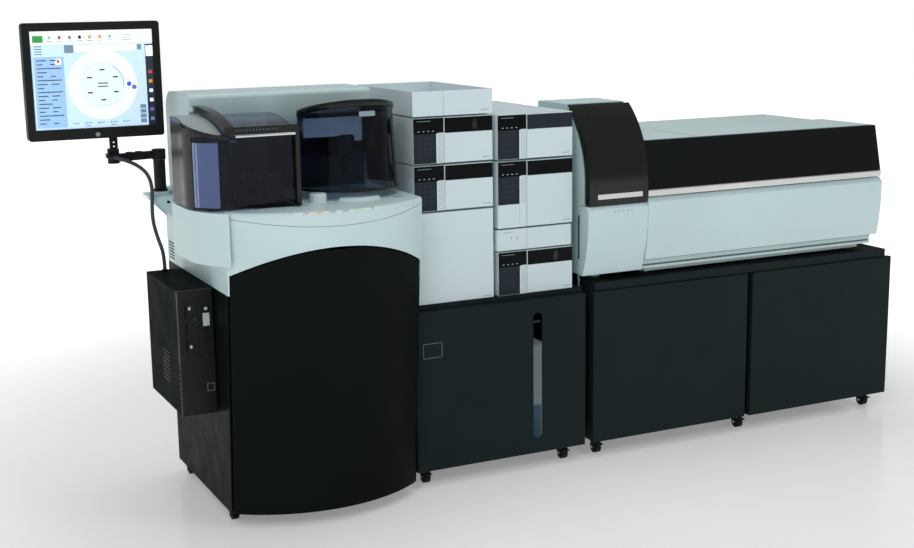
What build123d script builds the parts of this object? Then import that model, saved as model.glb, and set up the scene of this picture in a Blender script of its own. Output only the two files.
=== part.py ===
"""Mass spectrometer line: sample station, chromatograph stack and mass spectrometer on its bench.

Millimetres, +Z up, front towards -Y.  The origin is on the floor, under the middle of the whole line.
"""
import os
from math import pi, radians, sqrt, tan

from build123d import *

# ---------------------------------------------------------------- driving dimensions
# widths along the line, from left to right
MONITOR_REACH = 421  # how far the monitor stands out past the station's left side
STATION_WIDTH = 571
STATION_GAP = 17
LC_CABINET_WIDTH = 588
BENCH_GAP = 30
BENCH_WIDTH = 1216

# depths
BOW_REACH = 250  # the station's bowed front stands this far in front of the modules
BENCH_DEPTH = 620  # behind the modules' front plane
STATION_BACK = 495
DOOR_PROUD = 30  # the cabinet doors stand this far in front of the modules

# heights above the floor
MODULE_BASE = 560
SHEET = 3  # folded sheet steel
PLASTIC = 4  # moulded covers
GAP = 3  # seam between neighbouring covers
CLEAR = 0.4  # clearance beside a moving piece

# sample station
STATION_FOOT = 40
STATION_FLOOR = 58
BODY_SEAM = 893
CASING_HEIGHT = 215  # white casing, from the black cabinet's top to the seam
SEAM_DIP = 28
DECK_RISE = 14
BOW_END_LOW = 62  # bow reach at its ends and at its middle, at the foot and at the seam
BOW_END_HIGH = 135
BOW_MIDDLE_LOW = 160
STATION_DOOR_THICKNESS = 28
ARCH_LEFT = 163  # the arch's ends and its top, below the seam
ARCH_CROWN = 92
ARCH_RIGHT = 171
ARCH_APEX_FROM_RIGHT = 232
ARCH_GAP = 4
DOOR_SIDE_GAP = 6
BOSS_FROM_LEFT = 283
BOSS_FORWARD = 72  # before the modules' front plane, as is the dome's distance
BOSS_RADIUS = 15
BOSS_HEIGHT = 24
DOME_FROM_RIGHT = 170
DOME_FORWARD = 86
DOME_LENGTH = 130
DOME_WIDTH = 79
DOME_HEIGHT = 9
VIAL_SLOT = 30
HOOD_HEIGHT = 293  # above the deck, as are the covers' heights
HOOD_WIDTH = 548
HOOD_LIP = 173  # top front edge, behind the modules' front plane
HOOD_FACE = 215
HOOD_BACK = 433
COVER_WALL = 3
COVER_FRONT = 116
COVER_BACK = 150
LEFT_COVER_WIDTH = 215
LEFT_COVER_BACK = 130
LEFT_COVER_LIFT = 3
LEFT_COVER_CROWN = 240
LEFT_COVER_FRONT = 196
LEFT_COVER_REAR = 198
CORNER_BULGE = 68
CORNER_DROP = 131  # below the seam
CORNER_BACK = 345
FRAME_BAR = 14
FRAME_HEIGHT = 20
FRAME_RISE = 29  # above the cover's front edge
FRAME_CORNER = 16
ARM_WIDTH = 26
ARM_INSET = 7  # past the station's left side
ARM_PIVOT = 155  # behind the modules' front plane
PIVOT_RADIUS = 10
GRIP_RADIUS = 4.5
RIGHT_COVER_CENTRE = 156  # from the station's right side
RIGHT_COVER_RADIUS = 153
RIGHT_COVER_TOP_RADIUS = 139
RIGHT_COVER_TAPER = 45  # its sides draw in towards the back
RIGHT_COVER_FALL = 56  # its top drops towards the back
RIGHT_COVER_LIFT = 23
RIGHT_COVER_HEIGHT = 237
CAP_HEIGHT = 20
HINGE_REACH = 60
HINGE_WIDTH = 24
LUG = 6
TURNTABLE_RADIUS = 88
TURNTABLE_FROM_LEFT = 118
TUBE_COUNT = 16
TUBE_RADIUS = 6
TUBE_LENGTH = 75
CARRIAGE_WIDTH = 64
CARRIAGE_TRAVEL = 74  # each way

# computer and monitor
PC_WIDTH = 102
PC_HEIGHT = 356
PC_DEPTH = 338
PC_DROP = 2  # below the top of the cabinet
PC_SETBACK = 17
PC_BOX_GAP = 2
MONITOR_GAP = 41  # between the monitor and the station's left side
MONITOR_BORDER = 21
MONITOR_CHIN = 30.5
MONITOR_BROW = 22.5
MONITOR_LIFT = 174  # above the deck
MONITOR_THICKNESS = 42
MONITOR_SETBACK = 300
SCREEN_HEIGHT = 271
BEZEL_DEPTH = 4
POST_RADIUS = 17
CABLE_DIAMETER = 11
GLAND_LENGTH = 16
GROMMET_HEIGHT = 6

# chromatograph
LC_MARGIN = 20  # cabinet's left end to the first column of modules
LC_RIGHT_MARGIN = 32
MODULE_DEPTH = 500
COLUMN_GAP = 16
MODULE_GAP = 4
PUMP_HEIGHT = 140
OVEN_HEIGHT = 280
DEGASSER_HEIGHT = 68
AUTOSAMPLER_HEIGHT = 208
TRAY_HEIGHT = 72
TRAY_SETBACK = 80  # the tray stops this far in front of the modules' backs
TRAY_WALL = 6
PUMP_BAY = 36
PUMP_HEAD_RADIUS = 19
PUMP_HEAD_PITCH = 60
BAY_SIDE = 8  # frame beside a bay, and above and below it
BAY_SILL = 10
OVEN_WALL = 20
OVEN_DEPTH = 140
COLUMN_HEIGHT = 150  # above the oven's foot
COLUMN_LENGTH = 170
COLUMN_RADIUS = 5
COLUMN_END = 16
CLIP_PITCH = 85
CLIP_WIDTH = 10
AUTOSAMPLER_BAY = 180
RACK_SIZE = 120
RACK_INSET = 30
VIAL_PITCH = 20
VIAL_RADIUS = 6
DEGASSER_LAP = 4
PANEL_SHARE = 0.38  # the fixed control panel's share of a module's front
MODULE_DOOR = 20
OVEN_DOOR = 24
CABINET_BASE = 52
CABINET_DOOR = 20
LC_TOP_SLAB = 24
SLOT_FROM_RIGHT = 156
SLOT_WIDTH = 33
SLOT_LOW = 100
SLOT_HIGH = 503
TANK_MARGIN = 60  # the tank stands this far past each side of the slot
TANK_DEPTH = 260
TANK_HEIGHT = 327
TANK_CORNER = 24
WHEEL_RADIUS = 20
WHEEL_WIDTH = 18

# bench and mass spectrometer
BENCH_DOOR_GAP = 20
BENCH_TOP_INSET = 24
BENCH_TOP = 573
BENCH_TOP_SLAB = 26
MS_OVERHANG = 25  # the tower stands this far past the bench's left end
MS_LENGTH = 1167
TOWER_WIDTH = 213
TOWER_DEPTH = 281
TOWER_TOP = 1125
TOWER_BOTTOM = 596
COVER_BOTTOM = 820
COVER_RADIUS = 307
COVER_STRAIGHT = 62
COVER_CHEEK = 28
COVER_SHELL = 4
MS_DEPTH = 600
MS_ROOF = 1007
MS_BOTTOM = 596
MS_STEP_DEPTH = 268
MS_STEP = 6
PANEL_SLOPE = 35
TRIM_LOW = 834
TRIM_HIGH = 855
FRONT_PROUD = 45
FRONT_PANEL_TOP = 830
FRONT_PANEL_BOTTOM = 631
FRONT_PANEL_TUCK = 29
ROUGH_PUMP_WIDTH = 140
ROUGH_PUMP_HEIGHT = 190
ROUGH_PUMP_LENGTH = 390
ROUGH_MOTOR_RADIUS = 68
SOURCE_RADIUS = 56
SOURCE_REACH = 90  # its barrel before the ion beam
SOURCE_BODY = 62  # half the width of the block behind the barrel
SOURCE_BACK = 70
SOURCE_FOOT = 60  # the block's underside below the beam
PROBE_HEIGHT = 124
PROBE_RADIUS = 14
PROBE_TIP = 26
PROBE_FORWARD = 30
BEAM_HEIGHT = 66  # above the cover's foot
BEAM_DEPTH = 190
MANIFOLD_LENGTH = 640
MANIFOLD_DEPTH = 190
MANIFOLD_HEIGHT = 170
MANIFOLD_WALL = 14
TURBO_RADIUS = 72
TURBO_INSET = 150
TURBO_THROAT = 58
ROD_CARRIER_RADIUS = 34
DETECTOR_RADIUS = 22
ROD_RADIUS = 6
ROD_SPACING = 15
GAS_INLET_RADIUS = 3.2
GAS_INLET_LENGTH = 16
EXHAUST_RADIUS = 12.5

# ---------------------------------------------------------------- places worked out from them
line_length = MONITOR_REACH + STATION_WIDTH + STATION_GAP + LC_CABINET_WIDTH + BENCH_GAP + BENCH_WIDTH
station_left = MONITOR_REACH - line_length / 2
station_right = station_left + STATION_WIDTH
station_middle = (station_left + station_right) / 2
lc_left = station_right + STATION_GAP
lc_right = lc_left + LC_CABINET_WIDTH
column_a = lc_left + LC_MARGIN
bench_left = lc_right + BENCH_GAP
bench_right = bench_left + BENCH_WIDTH
ms_left = bench_left - MS_OVERHANG
tower_right = ms_left + TOWER_WIDTH
ms_right = ms_left + MS_LENGTH
front = (BOW_REACH - BENCH_DEPTH) / 2  # the modules' front plane
back = front + BENCH_DEPTH
door_front = front - DOOR_PROUD
station_back = front + STATION_BACK
module_width = (LC_CABINET_WIDTH - LC_MARGIN - COLUMN_GAP - LC_RIGHT_MARGIN) / 2
column_b = column_a + module_width + COLUMN_GAP
cabinet_crown = BODY_SEAM - CASING_HEIGHT
arch_top = BODY_SEAM - ARCH_CROWN
deck_top = BODY_SEAM + DECK_RISE
hood_top = deck_top + HOOD_HEIGHT
left_cover_base = deck_top + LEFT_COVER_LIFT
left_cover_crown = deck_top + LEFT_COVER_CROWN
left_cover_front_top = deck_top + LEFT_COVER_FRONT
left_cover_rear_top = deck_top + LEFT_COVER_REAR
right_cover_base = deck_top + RIGHT_COVER_LIFT
right_cover_top = right_cover_base + RIGHT_COVER_HEIGHT

os.makedirs("parts", exist_ok=True)


# ---------------------------------------------------------------- helpers
def finish(name, piece):
    """Label a finished piece and write its STEP file."""
    piece.part.label = name
    export_step(piece.part, f"parts/{name}.step")


def block(x, y, z, mode=Mode.ADD):
    """A box between two values along each axis."""
    size = (x[1] - x[0], y[1] - y[0], z[1] - z[0])
    with Locations((x[0], y[0], z[0])):
        return Box(*size, align=(Align.MIN,) * 3, mode=mode)


def face_on(plane, points):
    """A flat face with straight sides through the points."""
    with BuildSketch(plane) as face:
        with BuildLine():
            Polyline(*points, close=True)
        make_face()
    return face.sketch


def bar_x(points, x, mode=Mode.ADD):
    """A bar along X whose section in (y, z) is the polygon through the points."""
    extrude(face_on(Plane.YZ.offset(x[0]), points), amount=x[1] - x[0], mode=mode)


def cylinder_between(start, end, radius, mode=Mode.ADD):
    """A round bar from one point to another."""
    axis = Vector(end) - Vector(start)
    with BuildSketch(Plane(origin=start, z_dir=axis)) as disc:
        Circle(radius)
    extrude(disc.sketch, amount=axis.length, mode=mode)


def door_pan(x, z, radius):
    """A folded sheet door: a skin with its rim turned back, and rounded front edges."""
    y = (door_front, door_front + CABINET_DOOR)
    pan = block(x, y, z)
    fillet(pan.faces().sort_by(Axis.Y)[0].edges(), radius)
    inside = [(span[0] + SHEET, span[1] - SHEET) for span in (x, z)]
    block(inside[0], (y[0] + SHEET, y[1] + 1), inside[1], Mode.SUBTRACT)


def open_box(x, y, z, wall, open_sides):
    """A box of sheet whose named sides are left off."""
    block(x, y, z)
    step = {
        "left": -wall if "left" in open_sides else wall,
        "right": -wall if "right" in open_sides else wall,
        "front": -wall if "front" in open_sides else wall,
        "back": -wall if "back" in open_sides else wall,
        "bottom": -wall if "bottom" in open_sides else wall,
        "top": -wall if "top" in open_sides else wall,
    }
    block(
        (x[0] + step["left"], x[1] - step["right"]),
        (y[0] + step["front"], y[1] - step["back"]),
        (z[0] + step["bottom"], z[1] - step["top"]),
        mode=Mode.SUBTRACT,
    )


def caster(x, y, top):
    """A twin-plate caster under a cabinet: top plate, fork, axle and wheel."""
    plate = 3
    cheek = WHEEL_WIDTH / 2 + 2
    block((x - 22, x + 22), (y - 22, y + 22), (top - plate, top))
    for side in (-1, 1):
        inner, outer = sorted((x + side * cheek, x + side * (cheek + plate)))
        block((inner, outer), (y - 9, y + 9), (WHEEL_RADIUS - 8, top - plate))
    wheel_x = WHEEL_WIDTH / 2
    cylinder_between((x - wheel_x, y, WHEEL_RADIUS), (x + wheel_x, y, WHEEL_RADIUS), WHEEL_RADIUS)
    cylinder_between((x - cheek, y, WHEEL_RADIUS), (x + cheek, y, WHEEL_RADIUS), 5)


def bow(height):
    """Y of the bowed front at its ends and at its middle, at a height above the floor."""
    share = min((height - STATION_FOOT) / (BODY_SEAM - STATION_FOOT), 1)
    end = front - BOW_END_LOW - share * (BOW_END_HIGH - BOW_END_LOW)
    middle = front - BOW_MIDDLE_LOW - share * (BOW_REACH - BOW_MIDDLE_LOW)
    return end, middle


def station_face(height, side=0, inward=0, rear=station_back):
    """The station's outline at a height: three straight sides and the bowed front."""
    end, middle = bow(height)
    left = station_left + side
    right = station_right - side
    with BuildSketch(Plane.XY.offset(height)) as face:
        with BuildLine():
            ThreePointArc((left, end + inward), (station_middle, middle + inward), (right, end + inward))
            Polyline((right, end + inward), (right, rear), (left, rear), (left, end + inward))
        make_face()
    return face.sketch


def arch_face(left, right, grow, foot=0):
    """The region under the arch where the black door meets the white casing, seen from the front."""
    with BuildSketch(Plane.XZ.offset(-station_back)) as face:
        with BuildLine():
            left_end = (left, BODY_SEAM - ARCH_LEFT + grow)
            right_end = (right, BODY_SEAM - ARCH_RIGHT + grow)
            ThreePointArc(left_end, (station_right - ARCH_APEX_FROM_RIGHT, arch_top + grow), right_end)
            Polyline(right_end, (right, foot), (left, foot), left_end)
        make_face()
    return face.sketch


def seam_face(grow):
    """The region above the drooping seam between the casing and the deck, seen from the front."""
    top = deck_top + 20
    left = station_left - 10
    right = station_right + 10
    with BuildSketch(Plane.XZ.offset(-station_back)) as face:
        with BuildLine():
            left_end = (left, BODY_SEAM + grow)
            right_end = (right, BODY_SEAM + grow)
            ThreePointArc(left_end, (station_middle, BODY_SEAM - SEAM_DIP + grow), right_end)
            Polyline(right_end, (right, top), (left, top), left_end)
        make_face()
    return face.sketch


station_reach = STATION_BACK + BOW_REACH + 20

# ---------------------------------------------------------------- sample station: black cabinet
with BuildPart() as prep_cabinet:
    low_end = bow(STATION_FOOT)[0] + 6
    high_end = bow(cabinet_crown)[0] + 6
    wall_outline = [
        (station_back, STATION_FOOT),
        (station_back, cabinet_crown),
        (high_end, cabinet_crown),
        (low_end, STATION_FOOT),
    ]
    bar_x(wall_outline, (station_left, station_left + SHEET))
    bar_x(wall_outline, (station_right - SHEET, station_right))
    inner_front = door_front
    across = (station_left, station_right)
    block(across, (station_back - SHEET, station_back), (STATION_FOOT, cabinet_crown))
    block(across, (inner_front, station_back), (STATION_FLOOR, STATION_FLOOR + SHEET))
    block(across, (inner_front, station_back), (cabinet_crown - SHEET, cabinet_crown))
    shelf_height = (STATION_FLOOR + cabinet_crown) / 2
    block(across, (front + 60, station_back), (shelf_height, shelf_height + SHEET))
    caster_inset = 26
    for caster_x in (station_left + caster_inset, station_right - caster_inset):
        for caster_y in (front + 6, station_back - 45):
            caster(caster_x, caster_y, STATION_FLOOR)
finish("prep_cabinet", prep_cabinet)

# ---------------------------------------------------------------- sample station: bowed door
door_left = station_left + DOOR_SIDE_GAP
door_right = station_right - DOOR_SIDE_GAP
with BuildPart() as door_hollow:
    loft([station_face(h, DOOR_SIDE_GAP + SHEET, SHEET) for h in (STATION_FOOT, arch_top)])
    hollow_face = arch_face(door_left + SHEET, door_right - SHEET, -SHEET, STATION_FOOT + SHEET)
    extrude(hollow_face, amount=station_reach, mode=Mode.INTERSECT)

with BuildPart() as prep_front_door:
    loft([station_face(h, DOOR_SIDE_GAP) for h in (STATION_FOOT, arch_top)])
    loft(
        [station_face(h, -GAP, STATION_DOOR_THICKNESS, station_back + GAP) for h in (STATION_FOOT, arch_top)],
        mode=Mode.SUBTRACT,
    )
    extrude(arch_face(door_left, door_right, 0), amount=station_reach, mode=Mode.INTERSECT)
    add(door_hollow.part, mode=Mode.SUBTRACT)
finish("prep_front_door", prep_front_door)

# ---------------------------------------------------------------- sample station: white casing
with BuildPart() as prep_body:
    loft([station_face(h) for h in (cabinet_crown, BODY_SEAM)])
    loft(
        [station_face(h, PLASTIC, PLASTIC, station_back - PLASTIC) for h in (cabinet_crown, BODY_SEAM)],
        mode=Mode.SUBTRACT,
    )
    extrude(
        arch_face(station_left + PLASTIC, station_right - PLASTIC, ARCH_GAP),
        amount=station_reach - PLASTIC - 18,
        mode=Mode.SUBTRACT,
    )
    extrude(seam_face(0), amount=station_reach, mode=Mode.SUBTRACT)
    block(
        (station_left, station_right),
        (station_back - PLASTIC, station_back),
        (cabinet_crown, BODY_SEAM - SEAM_DIP),
    )
finish("prep_body", prep_body)

# ---------------------------------------------------------------- sample station: deck
boss_x = station_left + BOSS_FROM_LEFT
boss_y = front - BOSS_FORWARD
dome_place = (station_right - DOME_FROM_RIGHT, front - DOME_FORWARD)
with BuildPart() as prep_deck:
    deck_low = BODY_SEAM - SEAM_DIP - 4
    loft([station_face(h) for h in (deck_low, deck_top)])
    fillet(prep_deck.faces().sort_by(Axis.Z)[-1].edges().filter_by(GeomType.CIRCLE), 9)
    loft(
        [station_face(h, PLASTIC, PLASTIC, station_back - PLASTIC) for h in (deck_low, deck_top - PLASTIC)],
        mode=Mode.SUBTRACT,
    )
    extrude(seam_face(1), amount=station_reach, mode=Mode.INTERSECT)
    with BuildSketch(Plane.XY.offset(deck_top)) as boss:
        with Locations((boss_x, boss_y)):
            Circle(BOSS_RADIUS)
    extrude(amount=BOSS_HEIGHT, taper=6)
    with BuildSketch(Plane.XY.offset(deck_top)) as dome:
        with Locations(dome_place):
            Ellipse(DOME_LENGTH / 2, DOME_WIDTH / 2)
    extrude(amount=DOME_HEIGHT, taper=45)
    with BuildSketch(Plane.XY.offset(deck_top)) as vial_slots:
        with Locations((boss_x - 47, boss_y - 37), (boss_x + 3, boss_y - 45)):
            SlotOverall(VIAL_SLOT, VIAL_SLOT / 3)
    extrude(amount=-PLASTIC / 2, mode=Mode.SUBTRACT)
finish("prep_deck", prep_deck)

# ---------------------------------------------------------------- sample station: corner panel
corner_bulge_x = station_left - CORNER_BULGE
corner_base = BODY_SEAM - CORNER_DROP
corner_turn_y = front + 30
corner_tip = (station_left + 4, front - 149)
corner_rear = (station_left - 0.5, front + CORNER_BACK)


def corner_outline():
    """Plan of the bulged corner: a tight arc round the front, then a shallow one to the rear."""
    turn = (corner_bulge_x, corner_turn_y)
    with BuildSketch(Plane.XY) as face:
        with BuildLine():
            ThreePointArc(corner_tip, (station_left - 44, front - 84), turn)
            ThreePointArc(turn, (station_left - 57, front + 200), corner_rear)
            Polyline(corner_rear, (station_left - 0.5, front - 137), corner_tip)
        make_face()
    return face.sketch


with BuildPart() as prep_corner_panel:
    corner_top = deck_top - 2
    extrude(Plane.XY.offset(corner_base) * corner_outline(), amount=corner_top - corner_base)
    with BuildSketch(Plane.XY.offset(corner_base + PLASTIC)) as corner_hollow:
        add(corner_outline())
        offset(amount=-PLASTIC)
        with Locations((station_left - PLASTIC, front + 80)):
            Rectangle(2 * PLASTIC, 380)
    extrude(amount=corner_top - corner_base - 2 * PLASTIC, mode=Mode.SUBTRACT)
finish("prep_corner_panel", prep_corner_panel)

# ---------------------------------------------------------------- sample station: hood
arm_span = (station_left + ARM_INSET, station_left + ARM_INSET + ARM_WIDTH)
pivot_y = front + ARM_PIVOT
pivot_z = left_cover_crown + PIVOT_RADIUS + 3
right_cover_x = station_right - RIGHT_COVER_CENTRE
right_hinges = (right_cover_x - HINGE_REACH, right_cover_x + HINGE_REACH)
right_hinge_y = front + COVER_BACK + 9
right_hinge_z = right_cover_top - RIGHT_COVER_FALL + CAP_HEIGHT / 2


def hood_profile(inset):
    """Side section of the hood: flat top, rounded back, lip over a hollow front face."""
    lip = front + HOOD_LIP + inset
    face_y = front + HOOD_FACE + inset
    rear = front + HOOD_BACK - inset
    top = hood_top - inset
    with BuildSketch(Plane.YZ.offset(station_left + inset)) as face:
        with BuildLine():
            Polyline((rear - 60, top), (lip + 12, top))
            ThreePointArc((lip + 12, top), (lip + 2, top - 5), (lip, top - 16))
            ThreePointArc((lip, top - 16), (lip + 14, top - 72), (face_y, top - 120))
            Polyline((face_y, top - 120), (face_y, deck_top), (rear, deck_top), (rear, top - 60))
            ThreePointArc((rear, top - 60), (rear - 18, top - 18), (rear - 60, top))
        make_face()
    return face.sketch


with BuildPart() as prep_hood:
    extrude(hood_profile(0), amount=HOOD_WIDTH)
    extrude(hood_profile(PLASTIC), amount=HOOD_WIDTH - 2 * PLASTIC, mode=Mode.SUBTRACT)
    lug_back = front + HOOD_LIP + 8
    for lug_x in (arm_span[0] - CLEAR - LUG, arm_span[1] + CLEAR):
        block((lug_x, lug_x + LUG), (pivot_y - LUG, lug_back), (pivot_z - LUG, pivot_z + LUG))
    lug_back = front + HOOD_LIP + 25
    outer = HINGE_WIDTH / 2 + CLEAR
    for lug_x in (right_hinges[0] - outer - LUG, right_hinges[1] + outer):
        lug_z = (right_hinge_z - LUG, right_hinge_z + LUG)
        block((lug_x, lug_x + LUG), (right_hinge_y - LUG, lug_back), lug_z)
finish("prep_hood", prep_hood)

# ---------------------------------------------------------------- sample station: left smoked cover
left_cover_right = station_left + LEFT_COVER_WIDTH


def left_cover_plan(inset):
    """Plan of the left cover: it follows the bulged corner and is open at the back."""
    right = left_cover_right - inset
    front_y = front - COVER_FRONT + inset
    back_y = front + LEFT_COVER_BACK
    turn = (corner_bulge_x + 2 + inset, corner_turn_y)
    rear = (corner_bulge_x + 5 + inset, back_y)
    with BuildSketch(Plane.XY) as face:
        with BuildLine():
            Polyline((right, back_y), (right, front_y), (station_left + 24, front_y))
            corner = (station_left - 42 + inset, front - 78 + inset)
            ThreePointArc((station_left + 24, front_y), corner, turn)
            Polyline(turn, rear, (right, back_y))
        make_face()
    return face.sketch


def left_cover_section(drop):
    """Side section of the left cover: a crowned top over straight walls."""
    base = left_cover_base - 1
    y_front = front - COVER_FRONT - 10
    y_rear = front + CORNER_BACK
    front_edge = (y_front, left_cover_front_top - drop)
    rear_edge = (y_rear, left_cover_rear_top - drop)
    with BuildSketch(Plane.YZ.offset(corner_bulge_x - 10)) as face:
        with BuildLine():
            ThreePointArc(front_edge, (front + 110, left_cover_crown - drop), rear_edge)
            Polyline(rear_edge, (y_rear, base), (y_front, base), front_edge)
        make_face()
    return face.sketch


cover_span = left_cover_right - corner_bulge_x + 20
with BuildPart() as left_cover_inside:
    extrude(Plane.XY.offset(left_cover_base - 5) * left_cover_plan(COVER_WALL), amount=300)
    extrude(left_cover_section(COVER_WALL), amount=cover_span, mode=Mode.INTERSECT)

with BuildPart() as prep_left_cover:
    extrude(Plane.XY.offset(left_cover_base) * left_cover_plan(0), amount=300)
    extrude(left_cover_section(0), amount=cover_span, mode=Mode.INTERSECT)
    add(left_cover_inside.part, mode=Mode.SUBTRACT)
    back_y = front + LEFT_COVER_BACK
    open_z = (left_cover_base - 1, left_cover_crown + 5)
    open_x = (corner_bulge_x + 15, left_cover_right - COVER_WALL)
    block(open_x, (back_y - COVER_WALL - 1, back_y + 1), open_z, Mode.SUBTRACT)
finish("prep_left_cover", prep_left_cover)

# ---------------------------------------------------------------- sample station: left cover's frame and bar
frame_y = front - COVER_FRONT - FRAME_BAR - CLEAR
frame_span = (frame_y, frame_y + FRAME_BAR)
frame_top = left_cover_front_top + FRAME_RISE
frame_foot = frame_top - FRAME_HEIGHT
arm_left, arm_right = arm_span
arm_rear = pivot_y + PIVOT_RADIUS - 2


def arm_line(rise):
    """A curve over the cover from the frame's bar back to the pivot."""
    with BuildLine() as line:
        middle = (front + 14, left_cover_crown - 3 + rise)
        ThreePointArc((frame_y, frame_foot + rise), middle, (arm_rear, left_cover_crown + 3 + rise))
    return line.line


with BuildPart() as prep_left_cover_frame:
    block((arm_left, left_cover_right), frame_span, (frame_foot, frame_top))
    block((left_cover_right - 12, left_cover_right), frame_span, (left_cover_base, frame_top))
    corner_edges = prep_left_cover_frame.edges().filter_by(Axis.Y)
    fillet(corner_edges.sort_by(lambda edge: edge.center().X + edge.center().Z)[-1], FRAME_CORNER)
    with BuildSketch(Plane.YZ.offset(arm_left)) as arm_face:
        with BuildLine():
            add(arm_line(0))
            add(arm_line(FRAME_HEIGHT))
            Line((frame_y, frame_foot), (frame_y, frame_top))
            Line((arm_rear, left_cover_crown + 3), (arm_rear, left_cover_crown + 3 + FRAME_HEIGHT))
        make_face()
    extrude(amount=ARM_WIDTH)
    cylinder_between((arm_left, pivot_y, pivot_z), (arm_right, pivot_y, pivot_z), PIVOT_RADIUS)
finish("prep_left_cover_frame", prep_left_cover_frame)

with BuildPart() as prep_left_cover_bar:
    bar_y = frame_y - GRIP_RADIUS + 1
    bar_z = frame_foot - GRIP_RADIUS
    bar_left = arm_right + 2
    bar_right = left_cover_right - 14
    cylinder_between((bar_left, bar_y, bar_z), (bar_right, bar_y, bar_z), GRIP_RADIUS)
    for post_x in (bar_left + 10, bar_right - 10):
        post_back = (post_x, front - COVER_FRONT - CLEAR, bar_z)
        cylinder_between((post_x, bar_y, bar_z), post_back, GRIP_RADIUS - 1)
finish("prep_left_cover_bar", prep_left_cover_bar)

# ---------------------------------------------------------------- sample station: right smoked cover
right_cover_y = front + COVER_BACK - 99


def right_cover_plan(height, radius):
    """Plan of the right cover: a half round front whose sides draw in towards the open back."""
    rear = front + COVER_BACK
    left = right_cover_x - radius
    right = right_cover_x + radius
    with BuildSketch(Plane.XY.offset(height)) as face:
        with BuildLine():
            nose = (right_cover_x, right_cover_y - radius)
            ThreePointArc((left, right_cover_y), nose, (right, right_cover_y))
            rear_right = (right - RIGHT_COVER_TAPER, rear)
            rear_left = (left + RIGHT_COVER_TAPER, rear)
            Polyline((right, right_cover_y), rear_right, rear_left, (left, right_cover_y))
        make_face()
    return face.sketch


def sloping_slab(low, high):
    """The space between two heights above the right cover's sloping top."""
    nose_y = right_cover_y - RIGHT_COVER_TOP_RADIUS
    rear_y = front + COVER_BACK
    slope = RIGHT_COVER_FALL / (rear_y - nose_y)
    ends = (nose_y - 20, rear_y + 20)
    heights = [right_cover_top - slope * (y - nose_y) for y in ends]
    lower = [(y, height + low) for y, height in zip(ends, heights)]
    upper = [(y, height + high) for y, height in zip(ends, heights)]
    return face_on(Plane.YZ.offset(right_cover_x - RIGHT_COVER_RADIUS - 10), lower + upper[::-1])


slab_width = 2 * RIGHT_COVER_RADIUS + 20
with BuildPart() as prep_right_cover:
    heights = (right_cover_base, right_cover_top)
    radii = (RIGHT_COVER_RADIUS, RIGHT_COVER_TOP_RADIUS)
    loft([right_cover_plan(*place) for place in zip(heights, radii)])
    loft(
        [right_cover_plan(height, radius - COVER_WALL) for height, radius in zip(heights, radii)],
        mode=Mode.SUBTRACT,
    )
    reach = RIGHT_COVER_TOP_RADIUS - RIGHT_COVER_TAPER - 1
    open_x = (right_cover_x - reach, right_cover_x + reach)
    open_y = (front + COVER_BACK - 2 * COVER_WALL, front + COVER_BACK + 1)
    block(open_x, open_y, (right_cover_base - 1, right_cover_top + 1), Mode.SUBTRACT)
    extrude(sloping_slab(0, 2 * RIGHT_COVER_FALL), amount=slab_width, mode=Mode.SUBTRACT)
finish("prep_right_cover", prep_right_cover)

with BuildPart() as prep_right_cover_cap:
    cap_plan = right_cover_plan(right_cover_base, RIGHT_COVER_TOP_RADIUS + 4)
    extrude(cap_plan, amount=2 * RIGHT_COVER_HEIGHT)
    extrude(sloping_slab(0, CAP_HEIGHT), amount=slab_width, mode=Mode.INTERSECT)
    fillet(prep_right_cover_cap.faces().sort_by(Axis.Z)[-1].edges(), 7)
    leaf_y = (front + COVER_BACK - 5, right_hinge_y)
    leaf_z = (right_hinge_z - 6, right_hinge_z + 6)
    for hinge_x in right_hinges:
        ends = (hinge_x - HINGE_WIDTH / 2, hinge_x + HINGE_WIDTH / 2)
        block(ends, leaf_y, leaf_z)
        barrel = [(end_x, right_hinge_y, right_hinge_z) for end_x in ends]
        cylinder_between(*barrel, 6)
finish("prep_right_cover_cap", prep_right_cover_cap)

# ---------------------------------------------------------------- sample station: turntable and tubes
turntable_x = station_left + TURNTABLE_FROM_LEFT
turntable_y = front + 4
turntable_thickness = 12
turntable_base = deck_top + 6
tube_ring = TURNTABLE_RADIUS - 14
tube_seat = turntable_base + 4
with BuildPart() as prep_turntable:
    with BuildSketch(Plane.XY.offset(turntable_base)) as plate:
        with Locations((turntable_x, turntable_y)):
            Circle(TURNTABLE_RADIUS)
    extrude(amount=turntable_thickness)
    with BuildSketch(Plane.XY.offset(turntable_base + turntable_thickness)) as knob:
        with Locations((turntable_x, turntable_y)):
            Circle(16)
    extrude(amount=26)
    cylinder_between(
        (turntable_x, turntable_y, deck_top + CLEAR), (turntable_x, turntable_y, turntable_base), 24
    )
    with BuildSketch(Plane.XY.offset(tube_seat)) as wells:
        with Locations((turntable_x, turntable_y)):
            with PolarLocations(tube_ring, TUBE_COUNT):
                Circle(TUBE_RADIUS + CLEAR / 2)
    extrude(amount=turntable_thickness, mode=Mode.SUBTRACT)
finish("prep_turntable", prep_turntable)

with BuildPart() as prep_sample_tubes:
    with BuildSketch(Plane.XY.offset(tube_seat)) as tube_feet:
        with Locations((turntable_x, turntable_y)):
            with PolarLocations(tube_ring, TUBE_COUNT):
                Circle(TUBE_RADIUS)
    extrude(amount=TUBE_LENGTH)
finish("prep_sample_tubes", prep_sample_tubes)

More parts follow.
